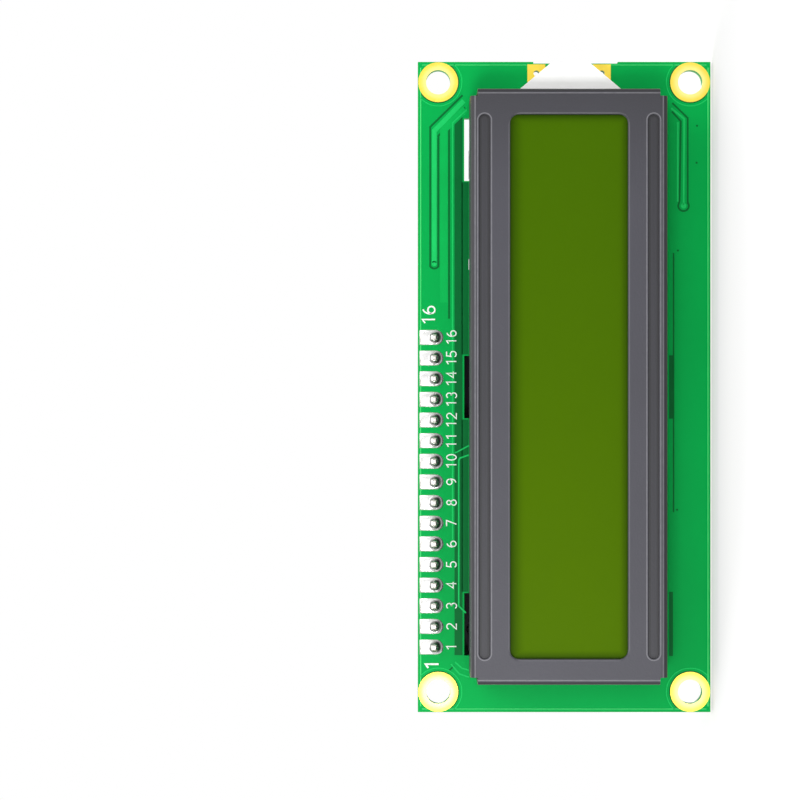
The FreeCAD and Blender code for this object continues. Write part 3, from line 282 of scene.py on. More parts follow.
def plain(name, cloud, tones, rough, step=None, cloudy=0.0, roughen=0.0, skin=None, **surface):
    """A finish that drifts between two tones, or steps between them. The cloud roughens it by cloudy, and
    the skin, which is its grain, by roughen."""
    shader = Shader(name)
    share = shader.noise(*cloud)
    if step:
        share = share.above(*step)
    grain = shader.noise(*skin) if skin else None
    if cloudy:
        rough = rough + share * cloudy
    if roughen:
        rough = rough + grain * roughen
    return shader.surface(shader.mix(share, *tones), rough, grain=grain, **surface)


def green_board():
    """Green mask with slow colour drift, faint orange peel, and raw laminate on the sawn rim."""
    look = board_look()
    shader = Shader("green_board")
    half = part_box("main_board")[1] / MM
    drift = shader.noise(0.05, 3.0)
    base = shader.mix(drift, shade(look.mask, 0.86), shade(look.mask, 1.10))
    fibre = shader.noise(1.2, 3.0, (1.0, 6.0, 1.0))
    sawn = shader.mix(fibre, shade(look.laminate, 0.7), shade(look.laminate, 1.2))
    rim = abs(shader.x).above(half.x - SAWN_DEPTH, 0.01).high(abs(shader.z).above(half.z - SAWN_DEPTH, 0.01))
    skin = shader.y.above(0.06, 0.02) * (1.0 - shader.y.above(1.54, 0.02))
    base = shader.mix(rim * skin, base, sawn)
    peel = shader.noise(1.6, 2.0)
    return shader.surface(base, 0.38 + rim * 0.4, gloss=0.04, grain=peel, depth=0.006)


def mask_skin(name, tone):
    """Solder mask of one tone."""
    tones = shade(tone, 0.88), shade(tone, 1.12)
    return plain(name, (0.3, 2.0), tones, 0.38, skin=(2.0,), gloss=0.06, depth=0.004)


def ink():
    """Printed white, thin in places."""
    tone = board_look().ink
    return plain("ink", (2.5, 4.0), (shade(tone, 0.72), tone), 0.62, step=(0.36, 0.10), skin=(4.0,),
                 gloss=0.2, depth=0.004)


def gold_plating():
    """Bright gold with soft clouding."""
    gold = parts_look().gold
    return plain("gold_plating", (0.7, 3.0), (shade(gold, 0.86), shade(gold, 1.06)), 0.24, cloudy=0.16,
                 skin=(3.0,), metal=1.0, depth=0.004)


def ring_gold():
    """Gold of the mounting rings: clear yellow at the rim and paler towards the hole."""
    shader = Shader("ring_gold")
    across, up = abs(shader.x) - RING_X, abs(shader.z) - RING_Z
    reach = (across * across + up * up).power(0.5)
    cloud = shader.noise(0.9, 3.0)
    pale = (1.0 - reach.above(1.95, 0.35)) * 0.75 + cloud * 0.15
    base = shader.mix(pale, (0.92, 0.70, 0.08), (0.93, 0.84, 0.30))
    return shader.surface(base, 0.26 + cloud * 0.14, metal=1.0, grain=shader.noise(3.0), depth=0.004)


def solder():
    """Tinned metal with frosted patches."""
    tin = parts_look().tin
    return plain("solder", (1.6, 4.0), (tin, shade(tin, 0.74)), 0.20, step=(0.52, 0.10), cloudy=0.22,
                 skin=(3.5, 3.0), metal=1.0, depth=0.012)


def from_pin(shader):
    """How far a place is from the nearest header pin, and how far up from it along Z."""
    across = (((shader.x - FIRST_PIN) / PIN_PITCH + 0.5).fraction() - 0.5) * PIN_PITCH
    up = shader.z - HEADER_Z
    return (across * across + up * up).power(0.5), up


def front_solder():
    """Tin of the front pads: painted shade in a grey ring round each pin, and a painted shadow in a crescent
    on its inner side.
    """
    shader = Shader("front_solder")
    tin = parts_look().tin
    reach, up = from_pin(shader)
    frost = shader.noise(1.3, 3.0).above(0.5, 0.2)
    base = shader.mix(frost * 0.35, shade(tin, 0.92), shade(tin, 0.66))
    # Painted shade: a dark grey ring round each pin.
    base = shader.mix(band(reach, 0.50, 0.10, 0.08) * 0.75, base, (0.14, 0.13, 0.13))
    # Painted shadow: a dark crescent on the side of each pin towards -Z.
    inner = 1.0 - (up / reach).above(-0.45, 0.30)
    crescent = band(reach, 0.74, 0.17, 0.10) * inner
    base = shader.mix(crescent * 0.92, base, (0.035, 0.045, 0.038))
    soot_from = 17.55
    sooty = (shader.z - soot_from).above(0.0, 0.12) * 0.35
    base = shader.mix(sooty, base, (0.20, 0.16, 0.10))
    return shader.surface(base, 0.24 + frost * 0.14, metal=1.0, grain=shader.noise(3.0), depth=0.008)


def rear_solder():
    """Tin of the rear joints, dulled and browned by flux."""
    shader = Shader("rear_solder")
    reach, up = from_pin(shader)
    patch = shader.noise(1.1, 4.0).above(0.50, 0.16)
    base = shader.mix(patch, (0.50, 0.47, 0.40), (0.07, 0.065, 0.055))
    base = shader.mix((1.0 - reach.above(0.34, 0.10)) * 0.8, base, (0.80, 0.79, 0.74))
    base = shader.mix(reach.above(0.74, 0.10) * 0.6, base, (0.05, 0.045, 0.04))
    return shader.surface(base, 0.26 + patch * 0.2, metal=1.0, grain=shader.noise(2.4, 3.0), depth=0.02)


def resin():
    """Cured resin: satin black with a slow ripple and dust."""
    shader = Shader("resin")
    ripple = shader.noise(0.35, 3.0)
    dust = shader.noise(5.0, 2.0).above(0.66, 0.05)
    base = shader.mix(dust * 0.5 + ripple * 0.4, (0.022, 0.022, 0.025), (0.095, 0.095, 0.104))
    grain = ripple + shader.noise(4.0) * 0.06
    return shader.surface(base, 0.30 + ripple * 0.12, gloss=0.5, grain=grain, depth=0.10)


def band(value, middle, half, softness):
    """1 where a value lies within half of the middle, and 0 elsewhere."""
    return 1.0 - abs(value - middle).above(half, softness)


def bezel_paint():
    """Dark satin coating with painted highlights on the fold, round the pressed beads and round the window,
    dust and painted shade in the grooves, and painted shade beside the beads, on the outer rim and towards
    the +X end.
    """
    shader = Shader("bezel_paint")
    paint = parts_look().frame_paint
    low, high = (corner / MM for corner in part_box("bezel"))
    pane_low, pane_high = (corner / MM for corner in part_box("front_polariser"))
    middle = (low.z + high.z) / 2.0
    speckle = shader.noise(5.0, 3.0)
    base = shader.mix(shader.noise(0.12, 3.0), shade(paint, 0.90), shade(paint, 1.10))
    # Painted shade: the coating darkens towards the +X end.
    base = shader.mix(shader.x.above(32.0, 12.0) * 0.85, base, shade(paint, 0.30))
    height = shader.z - middle
    past = (abs(shader.x) - BEAD_REACH).high(0.0)
    beside = abs(height) - BEAD_OFFSET
    groove = (past * past + beside * beside).power(0.5)
    edge = (abs(shader.x) - high.x).high(abs(height) - (high.z - middle))
    corner = 1.4
    right = (abs(shader.x) - (pane_high.x - PANE_LAP - corner)).high(0.0)
    above = (abs(height) - ((pane_high.z - pane_low.z) / 2.0 - PANE_LAP - corner)).high(0.0)
    cut = (right * right + above * above).power(0.5) - corner
    front = 1.0 - shader.y.above(low.y + 0.9, 0.3)
    # Dust and painted shade inside the grooves, and painted shade on the strip beyond the beads towards the
    # fold.
    inside = (1.0 - groove.above(0.36, 0.14)) * (0.45 + shader.noise(0.8, 2.0, (0.05, 1.0, 3.0)) * 0.5)
    beyond = (abs(height) - BEAD_OFFSET - 0.95).above(0.0, 0.10) * 0.42
    base = shader.mix(inside.high(beyond) * front, base, shade(paint, 0.30))
    # Painted shade: dark lines along the groove floors and on the frame's outer rim.
    dark = band(groove, 0.50, 0.17, 0.08).high(edge.above(-0.34, 0.08)) * front
    base = shader.mix(dark * 0.85, base, shade(paint, 0.16))
    # Painted highlights: pale lines on the bead rims, on the fold and round the window, broken up by noise.
    highlight_patches = 0.65 + shader.noise(1.4, 4.0) * 0.7
    pale = (band(groove, 0.84, 0.06, 0.05) * 0.40).high(band(edge, -0.56, 0.07, 0.05) * 0.35)
    pale = pale.high(band(cut, 0.14, 0.08, 0.06) * 0.16) * front * highlight_patches
    base = shader.mix(pale, base, (0.30, 0.295, 0.32))
    return shader.surface(base, 0.38 + speckle * 0.12, gloss=0.42, grain=speckle, depth=0.012)


def polariser():
    """Yellow-green film, with painted shadow of the frame round the window, widest along the +Z side, and
    yellower towards one end.
    """
    shader = Shader("polariser")
    look = parts_look()
    low, high = (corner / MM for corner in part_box("front_polariser"))
    middle = (low + high) / 2.0
    upper = high.z - PANE_LAP - shader.z
    lower = shader.z - low.z - PANE_LAP
    ends = high.x - PANE_LAP - abs(shader.x - middle.x)
    # Painted shadow of the frame round the window, widest along the +Z side.
    rim = (1.0 - upper.above(0.85, 1.05)).high(1.0 - lower.above(0.45, 0.75))
    rim = rim.high(1.0 - ends.above(0.50, 0.65))
    drift = shader.noise(0.03, 2.0)
    along = shader.x / (high.x - low.x) + 0.35 + drift * 0.3
    yellow = (look.glow[0] * 1.34, look.glow[1] * 1.18, look.glow[2])
    base = shader.mix(along.above(0.5, 0.6), yellow, tuple(look.glow))
    base = shader.mix(rim * 0.85, base, look.painted_rim_shadow)
    mottle = shader.noise(0.25, 4.0)
    base = shader.mix(mottle * 0.10, base, shade(look.glow, 0.6))
    return shader.surface(base, 0.20 + mottle * 0.08, gloss=0.03, grain=shader.noise(3.0), depth=0.002)


def rubber_strip():
    """Layered contact rubber, dark and pale by turns."""
    shader = Shader("rubber_strip")
    layers = (shader.x * 5.0).fraction().above(0.5, 0.08)
    return shader.surface(shader.mix(layers, (0.03, 0.03, 0.03), (0.42, 0.40, 0.40)), 0.7, gloss=0.3)


def black_board():
    """Black mask, with raw laminate on the sawn rim."""
    shader = Shader("black_board")
    tone = parts_look().black_mask
    low, high = (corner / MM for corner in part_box("adapter_board"))
    base = shader.mix(shader.noise(0.08, 3.0), shade(tone, 0.85), shade(tone, 1.25))
    middle, half = (low + high) / 2.0, (high - low) / 2.0
    across, up = abs(shader.x - middle.x), abs(shader.z - middle.z)
    rim = across.above(half.x - SAWN_DEPTH, 0.01).high(up.above(half.z - SAWN_DEPTH, 0.01))
    skin = shader.y.above(low.y + 0.06, 0.02) * (1.0 - shader.y.above(high.y - 0.06, 0.02))
    fibre = shader.noise(1.2, 3.0, (1.0, 6.0, 1.0))
    base = shader.mix(rim * skin, base, shader.mix(fibre, (0.16, 0.15, 0.09), (0.32, 0.29, 0.18)))
    return shader.surface(base, 0.30 + rim * 0.4, gloss=0.10, grain=shader.noise(1.6), depth=0.006)


def chip_black():
    """Moulded chip case: matt grey black, finely grained, with the dark round mark of pin one."""
    shader = Shader("chip_black")
    tone = parts_look().chip
    skin = shader.noise(7.0, 3.0)
    base = shader.mix(shader.noise(0.6, 3.0), shade(tone, 0.85), shade(tone, 1.2))
    across, up = shader.x + 14.2, shader.z - 3.5
    spot = 1.0 - (across * across + up * up).power(0.5).above(0.46, 0.05)
    base = shader.mix(spot * 0.8, base, shade(tone, 0.12))
    return shader.surface(base, 0.52 + skin * 0.15, gloss=0.35, grain=skin, depth=0.012)


def trimmer_blue():
    """Bright blue moulding, with the dial's darker ticks and its round mark."""
    shader = Shader("trimmer_blue")
    blue = parts_look().blue
    low, high = (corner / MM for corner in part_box("trimmer_rotor"))
    centre = (low + high) / 2.0
    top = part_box("trimmer_body")[1].y / MM
    across, up = shader.x - centre.x, shader.z - centre.z
    reach = (across * across + up * up).power(0.5)
    angle = shader.node("Math", {"operation": "ARCTAN2"}, {0: up, 1: across})
    ticks = 16
    beat = abs((angle * (ticks / math.tau) + 0.5).fraction() - 0.5)
    tick = (1.0 - beat.above(0.13, 0.03)) * reach.above(1.85, 0.04) * (1.0 - reach.above(2.5, 0.04))
    lid = shader.y.above(top - 0.05, 0.02)
    cloud = shader.noise(0.4, 3.0)
    base = shader.mix(cloud, shade(blue, 0.88), shade(blue, 1.08))
    base = shader.mix(tick * lid * 0.55, base, shade(blue, 0.35))
    return shader.surface(base, 0.30 + cloud * 0.08, gloss=0.45, grain=shader.noise(4.0), depth=0.006)


PLAIN_FINISHES = {
    "chip_solder": dict(cloud=(2.2, 4.0), step=(0.50, 0.14), tones=((0.72, 0.72, 0.70), (0.40, 0.39, 0.36)),
                        rough=0.28, cloudy=0.2, skin=(4.0, 3.0), metal=1.0, depth=0.02),
    "silicon": dict(cloud=(4.0,), tones=((0.12, 0.12, 0.14), (0.25, 0.25, 0.28)), rough=0.3, metal=0.6),
    "glass": dict(cloud=(0.5,), tones=((0.70, 0.78, 0.70), (0.76, 0.84, 0.76)), rough=0.05,
                  transmission_weight=0.85),
    "diffuser": dict(cloud=(1.0,), tones=((0.80, 0.84, 0.74), (0.88, 0.90, 0.82)), rough=0.55),
    "light_guide": dict(cloud=(0.4,), tones=((0.55, 0.72, 0.22), (0.66, 0.82, 0.30)), rough=0.18),
    "lamp_lens": dict(cloud=(1.2,), tones=((0.72, 0.74, 0.62), (0.86, 0.86, 0.80)), rough=0.2, coat=0.4),
    "white_plastic": dict(cloud=(0.2, 3.0), tones=((0.86, 0.86, 0.84), (0.92, 0.92, 0.91)), rough=0.46,
                          skin=(2.5,), gloss=0.3, depth=0.01),
    "black_plastic": dict(cloud=(0.5, 2.0), tones=((0.014, 0.014, 0.018), (0.028, 0.028, 0.034)), rough=0.42,
                          roughen=0.15, skin=(5.0, 3.0), gloss=0.22, depth=0.02),
    "cap_plastic": dict(cloud=(0.8,), tones=((0.050, 0.046, 0.060), (0.070, 0.064, 0.082)), rough=0.34,
                        roughen=0.12, skin=(5.0, 3.0), gloss=0.45, depth=0.015),
    "resistor_body": dict(cloud=(1.5, 3.0), tones=((0.10, 0.09, 0.13), (0.17, 0.155, 0.20)), rough=0.34,
                          skin=(4.0,), gloss=0.45, depth=0.008),
    "capacitor_tan": dict(cloud=(1.5, 3.0), tones=((0.33, 0.22, 0.12), (0.48, 0.34, 0.20)), rough=0.5,
                          skin=(5.0,), gloss=0.4, depth=0.012),
    "rotor_grey": dict(cloud=(1.0, 3.0), tones=((0.060, 0.064, 0.072), (0.150, 0.155, 0.165)), rough=0.42,
                       skin=(5.0,), gloss=0.4, depth=0.01),
    "clip_metal": dict(cloud=(0.9, 3.0), tones=((0.16, 0.17, 0.14), (0.42, 0.40, 0.34)), rough=0.42,
                       skin=(0.9, 3.0), metal=0.8, depth=0.01),
    "pin_metal": dict(cloud=(2.0, 3.0, (0.3, 3.0, 3.0)), tones=((0.62, 0.60, 0.55), (0.86, 0.84, 0.78)),
                      rough=0.22, roughen=0.16, skin=(2.0, 3.0, (0.3, 3.0, 3.0)), metal=1.0, depth=0.006),
}
OWN_FINISHES = {
    make.__name__: make for make in (
        green_board, ink, gold_plating, ring_gold, solder, front_solder, rear_solder, resin,
        bezel_paint, polariser, rubber_strip, black_board, chip_black, trimmer_blue,
    )
}
NODE_FINISHES = {
    "mounting_hole_plating": "ring_gold",
    "trimmer_rotor": "rotor_grey",
    "jumper_cap": "cap_plastic",
    "jumper_clip": "clip_metal",
    "main_board_resistors": "resistor_body",
    "adapter_resistors": "resistor_body",
}
FINISHES = {}


def finish(name, tone=None):
    """The material of one finish, made once. With a tone it is a solder mask of that colour."""
    if name not in FINISHES:
        if tone is not None:
            FINISHES[name] = mask_skin(name, tone)
        elif name in PLAIN_FINISHES:
            FINISHES[name] = plain(name, **PLAIN_FINISHES[name])
        else:
            FINISHES[name] = OWN_FINISHES[name]()
    return FINISHES[name]


# Shapes, as arrays of points in millimetres and rows of corner numbers

def grid_faces(rows, columns, wrap_rows=False, wrap_columns=False):
    """Four-sided faces of a grid of points, closed on itself along the wrapped ways."""
    row = np.arange(rows if wrap_rows else rows - 1)
    column = np.arange(columns if wrap_columns else columns - 1)
    row, column = (part.ravel() for part in np.meshgrid(row, column, indexing="ij"))
    next_row, next_column = (row + 1) % rows, (column + 1) % columns
    corners = (row * columns + column, row * columns + next_column,
               next_row * columns + next_column, next_row * columns + column)
    return np.stack(corners, axis=1).tolist()


def tube(sections, closed=False):
    """A profile carried along a path: point (i, j) is corner j of section i. An open tube has end caps."""
    rows, columns = sections.shape[:2]
    faces = grid_faces(rows, columns, wrap_rows=closed, wrap_columns=True)
    if not closed:
        faces.append(list(range(columns)))
        faces.append(list(range((rows - 1) * columns, rows * columns)))
    return sections.reshape(-1, 3), faces


def lathe(centre, profile, turns=28, side=1.0, closed=False):
    """A profile of (radius, rise) turned about +Y.

    x = cx + r cos t, y = cy + side * rise, z = cz + r sin t."""
    radius, rise = np.asarray(profile, float).T
    turn = np.arange(turns) * math.tau / turns
    x = centre[0] + radius[:, None] * np.cos(turn)
    z = centre[2] + radius[:, None] * np.sin(turn)
    y = np.broadcast_to((centre[1] + side * rise)[:, None], x.shape)
    return tube(np.stack((x, y, z), axis=2), closed=closed)


def mitred(path, closed):
    """At each point of a flat path, the sideways step that keeps a ribbon's width through the corner."""
    path = np.asarray(path, float)
    ahead = np.roll(path, -1, axis=0) - path
    if not closed:
        ahead[-1] = ahead[-2]
    behind = np.roll(ahead, 1, axis=0)
    if not closed:
        behind[0] = ahead[0]
    ahead /= np.linalg.norm(ahead, axis=1)[:, None]
    behind /= np.linalg.norm(behind, axis=1)[:, None]
    step = np.stack((-(ahead + behind)[:, 1], (ahead + behind)[:, 0]), axis=1)
    step /= np.linalg.norm(step, axis=1)[:, None]
    across = np.stack((-ahead[:, 1], ahead[:, 0]), axis=1)
    return step / np.maximum(np.sum(step * across, axis=1), 0.5)[:, None]


def arc(centre, radius, start, end, count=9, squeeze=1.0):
    """Points (cx + r cos t, cz + squeeze * r sin t) with t from start to end in degrees."""
    turn = np.radians(np.linspace(start, end, count))
    return np.stack((centre[0] + radius * np.cos(turn), centre[1] + squeeze * radius * np.sin(turn)), axis=1)


def route(*parts):
    """One path from points and arcs, end to end."""
    return np.vstack(parts)


def box_path(low, high):
    """The four corners of an upright box."""
    return [(low[0], low[1]), (high[0], low[1]), (high[0], high[1]), (low[0], high[1])]


def figure_strokes():
    """The strokes of the plain figures 0 to 9, in a box 0.6 wide and 1 high."""
    six = route(arc((0.42, 0.42), 0.42, 100, 180, 6, 1.3), arc((0.3, 0.3), 0.28, 180, 540, 13))
    return {
        "0": [arc((0.3, 0.5), 0.28, 0, 360, 15, 1.75)],
        "1": [np.array([(0.08, 0.80), (0.36, 1.0), (0.36, 0.0)])],
        "2": [route(arc((0.3, 0.70), 0.28, 160, -30, 8), [(0.02, 0.0), (0.6, 0.0)])],
        "3": [arc((0.28, 0.74), 0.26, 150, -90, 9), arc((0.28, 0.25), 0.28, 90, -150, 9)],
        "4": [np.array([(0.45, 0.0), (0.45, 1.0), (0.0, 0.32), (0.62, 0.32)])],
        "5": [route([(0.56, 1.0), (0.12, 1.0), (0.06, 0.55)], arc((0.28, 0.31), 0.30, 110, -150, 10))],
        "6": [six],
        "7": [np.array([(0.0, 1.0), (0.58, 1.0), (0.2, 0.0)])],
        "8": [arc((0.3, 0.76), 0.22, -90, 270, 13), arc((0.3, 0.27), 0.27, 90, 450, 13)],
        "9": [np.array([0.6, 1.0]) - six],
    }


FIGURES = figure_strokes()


SINK = 0.02


class Layer:
    """Low shapes on one flat face of a board, gathered into one mesh. Places are (x, z) in millimetres,
    and each shape's foot is sunk into the board."""

    def __init__(self, level, side, height):
        self.level = level
        self.side = side
        self.height = height
        self.shapes = []

    def line(self, path, width, closed=False):
        """A flat ribbon with sloped sides along a path, as wide as width at its foot."""
        path = np.asarray(path, float)
        step = mitred(path, closed)
        foot = width / 2.0
        crown = max(foot - self.height * 0.8, foot * 0.5)
        offsets = np.array([-foot, -crown, crown, foot])
        rises = np.array([-SINK, self.height, self.height, -SINK])
        flat = path[:, None, :] + step[:, None, :] * offsets[None, :, None]
        y = np.broadcast_to(self.level + self.side * rises, flat.shape[:2])
        self.shapes.append(tube(np.stack((flat[..., 0], y, flat[..., 1]), axis=2), closed))

    def lines(self, width, *paths):
        for path in paths:
            self.line(path, width)

    def frame(self, low, high, width):
        """The outline of an upright box."""
        self.line(box_path(low, high), width, closed=True)

    def block(self, low, high):
        """A filled upright box with sloped sides."""
        middle = (low[1] + high[1]) / 2.0
        self.line([(low[0], middle), (high[0], middle)], high[1] - low[1])

    def brackets(self, first, last, nick, width):
        """Two brackets that face each other across a box, with arms as long as nick."""
        (x0, z0), (x1, z1) = first, last
        self.lines(width, [(x0 + nick, z0), (x0, z0), (x0, z1), (x0 + nick, z1)],
                   [(x1 - nick, z0), (x1, z0), (x1, z1), (x1 - nick, z1)])

    def turned(self, centre, profile, turns, closed=False):
        """A profile of (radius, rise) turned about a centre."""
        place = (centre[0], self.level, centre[1])
        self.shapes.append(lathe(place, profile, turns, self.side, closed))

    def ring(self, centre, radius, width, turns=24):
        """A flat ring about a centre."""
        inner, outer = radius - width / 2.0, radius + width / 2.0
        slope = min(self.height * 0.6, width * 0.2)
        profile = [(outer, -SINK), (outer - slope, self.height), (inner + slope, self.height), (inner, -SINK)]
        self.turned(centre, profile, turns, closed=True)

    def vias(self, centres, radius=0.28):
        """Tented holes: a low ring with a dimple."""
        profile = [(radius, -SINK), (radius * 0.86, self.height), (radius * 0.45, self.height),
                   (radius * 0.25, self.height * 0.3)]
        for centre in centres:
            self.turned(centre, profile, 14)

    def number(self, text, centre, size, width):
        """A plain number in strokes, upright along Z, read along +X."""
        pitch = 0.82
        start = centre[0] - size * (pitch * len(text) - 0.22) / 2.0
        for place, figure in enumerate(text):
            corner = np.array([start + place * pitch * size, centre[1] - size / 2.0])
            for stroke in FIGURES[figure]:
                ends_meet = np.allclose(stroke[0], stroke[-1])
                points = stroke[:-1] if ends_meet else stroke
                self.line(corner + points * size, width, closed=ends_meet)

    def piece(self, name, material, slot):
        return solid(name, self.shapes, material)


def solid(name, shapes, material, body="module", replaced=(), smooth=None):
    """Joins shapes into one object in metres, faces outward, riding on a body."""
    points, faces, first = [], [], 0
    for shape_points, shape_faces in shapes:
        points.append(np.asarray(shape_points, float))
        faces.extend([[first + corner for corner in face] for face in shape_faces])
        first += len(shape_points)
    mesh = bpy.data.meshes.new(name)
    mesh.from_pydata(np.vstack(points) * MM, [], faces)
    turn_outward(mesh)
    if smooth is not None:
        mesh.shade_smooth()
        mesh.set_sharp_from_angle(angle=math.radians(smooth))
    mesh.materials.append(material)
    piece = bpy.data.objects.new(name, mesh)
    bpy.context.scene.collection.objects.link(piece)
    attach(piece, body)
    if replaced:
        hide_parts(*replaced)
    return piece


def turn_outward(mesh):
    """Turns the faces of closed shells outward."""
    work = bmesh.new()
    work.from_mesh(mesh)
    bmesh.ops.recalc_face_normals(work, faces=work.faces)
    work.to_mesh(mesh)
    work.free()


# Places that the pieces share, in millimetres

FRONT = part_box("main_board")[0].y / MM
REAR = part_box("main_board")[1].y / MM
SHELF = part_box("adapter_board")[1].y / MM
PIN_PITCH = 2.54
PIN_COUNT = 16
FIRST_PIN = -32.0
HEADER_Z = 16.0
PINS = [(FIRST_PIN + PIN_PITCH * number, HEADER_Z) for number in range(PIN_COUNT)]
LOCATING_HOLES = ((-15.1, -11.8), (15.1, 11.4))
RING_X, RING_Z = 37.5, 15.5
BEAD_REACH = 32.17
BEAD_OFFSET = 10.2
PANE_LAP = 0.8


# Main board, front face

def corner_arcs(layer, radius, width, start, stop):
    """Arcs round the four mounting rings, on their inner sides."""
    for end in (-1.0, 1.0):
        for edge in (-1.0, 1.0):
            around = arc((0.0, 0.0), radius, start, stop, 25)
            layer.line(around * (end, edge) + (end * RING_X, edge * RING_Z), width)


def front_relief():
    """Traces, with painted highlights on those along the board's edges, etched gaps, painted shade beside the
    frame and its slots, and print of the front face.
    """
    look = board_look()
    gaps = Layer(FRONT, -1.0, look.gap_height / MM)
    gaps.line(route([(35.9, 12.5), (32.0, 16.48), (15.5, 16.48)], arc((15.2, 15.98), 0.62, 125, 235, 7),
                    [(15.6, 15.48), (30.9, 15.48), (34.4, 12.2)]), 0.26)
    gaps.line([(34.2, 12.4), (32.35, 14.16), (8.4, 14.16)], 0.26)
    # Etched mask and painted shadow of the frame, beside its +Z wall.
    gaps.block((-33.0, 12.5), (33.2, 13.5))
    for low, high in ((-25.2, -4.0), (4.0, 25.2)):
        gaps.block((low, 11.75), (high, 12.62))
    gaps.line([(-34.9, 14.15), (-34.3, 13.55)], 0.22)
    gaps.line(route([(34.95, -13.3), (33.1, -15.2), (22.6, -15.2)], arc((22.3, -14.69), 0.66, 295, 90, 9),
                    [(22.9, -14.2), (32.7, -14.35), (33.9, -13.25)]), 0.24)
    gaps.line([(-15.4, -13.46), (16.5, -13.46)], 0.20)
    # Painted shade: dark strips just outside the slots on the -Z side.
    gaps.lines(0.50, [(-33.1, -13.15), (-25.2, -13.15)], [(-3.9, -13.15), (3.9, -13.15)])
    corner_arcs(gaps, 2.52, 0.16, 118, 332)
    gaps.vias([(32.15, -16.35), (27.6, -16.3), (16.8, -14.0), (-15.1, -13.9), (-7.95, 13.2)], 0.15)
    gaps.piece("front_gaps", finish("gap_mask", look.bare_mask), "green_board")

    pour = Layer(FRONT, -1.0, look.gap_height * 2.0 / MM)
    pour.line([(10.4, 14.80), (31.7, 14.80), (34.2, 12.2)], 0.95)
    pour.piece("front_pour", finish("pour_mask", shade(look.mask, 1.16)), "green_board")

    traces = Layer(FRONT, -1.0, look.trace_height / MM)
    traces.line([(15.3, 15.98), (31.5, 15.98), (35.2, 12.35)], 0.62)
    traces.line([(34.1, 12.0), (32.5, 13.72), (-18.8, 13.72)], 0.20)
    traces.line(route([(-8.35, 11.7)], arc((-9.2, 12.1), 0.87, 60, 90, 4), [(-26.95, 12.97), (-27.8, 12.1)]),
                0.22)
    traces.lines(0.20, [(-7.2, 11.7), (-7.95, 13.1), (-8.1, 13.45)],
                 [(-34.1, 13.9), (-35.3, 12.9), (-35.7, 11.7)],
                 [(-33.85, 13.4), (-34.6, 12.6), (-34.85, 11.7)])
    traces.lines(0.24, [(34.3, -13.15), (33.0, -14.76), (22.3, -14.69)], [(32.6, -13.97), (22.8, -13.97)])
    # Traces along the board's edges, in a brighter mask as a painted highlight.
    lit = Layer(FRONT, -1.0, look.trace_height / MM)
    lit.lines(0.16, [(39.3, -17.7), (-39.3, -17.7)], [(-39.3, 17.66), (39.3, 17.66)])
    lit.lines(0.13, [(39.62, -17.5), (39.62, 17.5)], [(-39.62, 17.5), (-39.62, -17.5)])
    lit.piece("front_lit_traces", finish("highlight_mask", look.highlight_trace), "green_board")
    traces.vias([(15.2, 15.98), (22.3, -14.69)], 0.36)
    corner_arcs(traces, 2.92, 0.14, 132, 318)
    traces.piece("front_traces", finish("trace_mask", look.trace), "green_board")

    marks = Layer(FRONT, -1.0, look.ink_height / MM)
    marks.number("16", (8.85, 16.65), 1.55, 0.22)
    marks.number("1", (-34.2, 16.25), 1.6, 0.26)
    for number, (x, z) in enumerate(PINS):
        marks.number(str(number + 1), (x, 13.87), 1.2, 0.17)
    marks.piece("front_print", finish("ink"), "white_plastic")


# Main board, rear face

def escape_traces():
    """Traces that leave the rear's long row of tented holes, each a route of its own."""
    row = -12.74
    return [
        [(-23.5, row), (-23.5, -9.73), (-22.3, -8.5)],
        [(-22.3, row), (-22.3, -8.63)],
        [(-21.05, row), (-21.05, -9.93)],
        [(-19.8, row), (-19.8, -10.41), (-19.1, -9.68), (-17.85, -9.68)],
        [(-18.45, row), (-18.45, -10.8), (-17.7, -10.14), (-16.75, -10.14)],
        [(-17.15, row), (-17.15, -11.1), (-13.8, -7.55)],
        [(-9.45, row), (-9.45, -11.36), (-8.67, -10.55), (-8.67, -8.63)],
        [(-8.2, row), (-8.2, -8.63)],
        [(-6.95, row), (-6.95, -9.3), (-8.1, -8.06)],
        [(-5.65, row), (-5.65, -10.0), (-7.4, -8.36)],
        [(5.8, row), (5.8, -10.4), (4.06, -8.5)],
        [(7.05, row), (7.05, -11.0), (4.45, -8.77)],
        [(8.3, row), (8.3, -11.87), (5.55, -9.3)],
        [(9.5, row), (9.5, -12.28), (6.35, -9.06)],
        [(10.85, row), (10.85, -12.0), (9.95, -11.2), (9.0, -11.2)],
        [(12.15, row), (12.15, -11.87), (10.75, -10.5), (9.55, -10.5)],
        [(13.4, row), (13.4, -11.87), (11.45, -9.85), (8.75, -9.85)],
        [(21.0, row), (21.0, -11.2), (19.3, -9.43)],
        [(22.3, row), (22.3, -11.2), (19.95, -8.9)],
        [(23.55, row), (23.55, -11.75), (20.35, -8.37)],
    ]


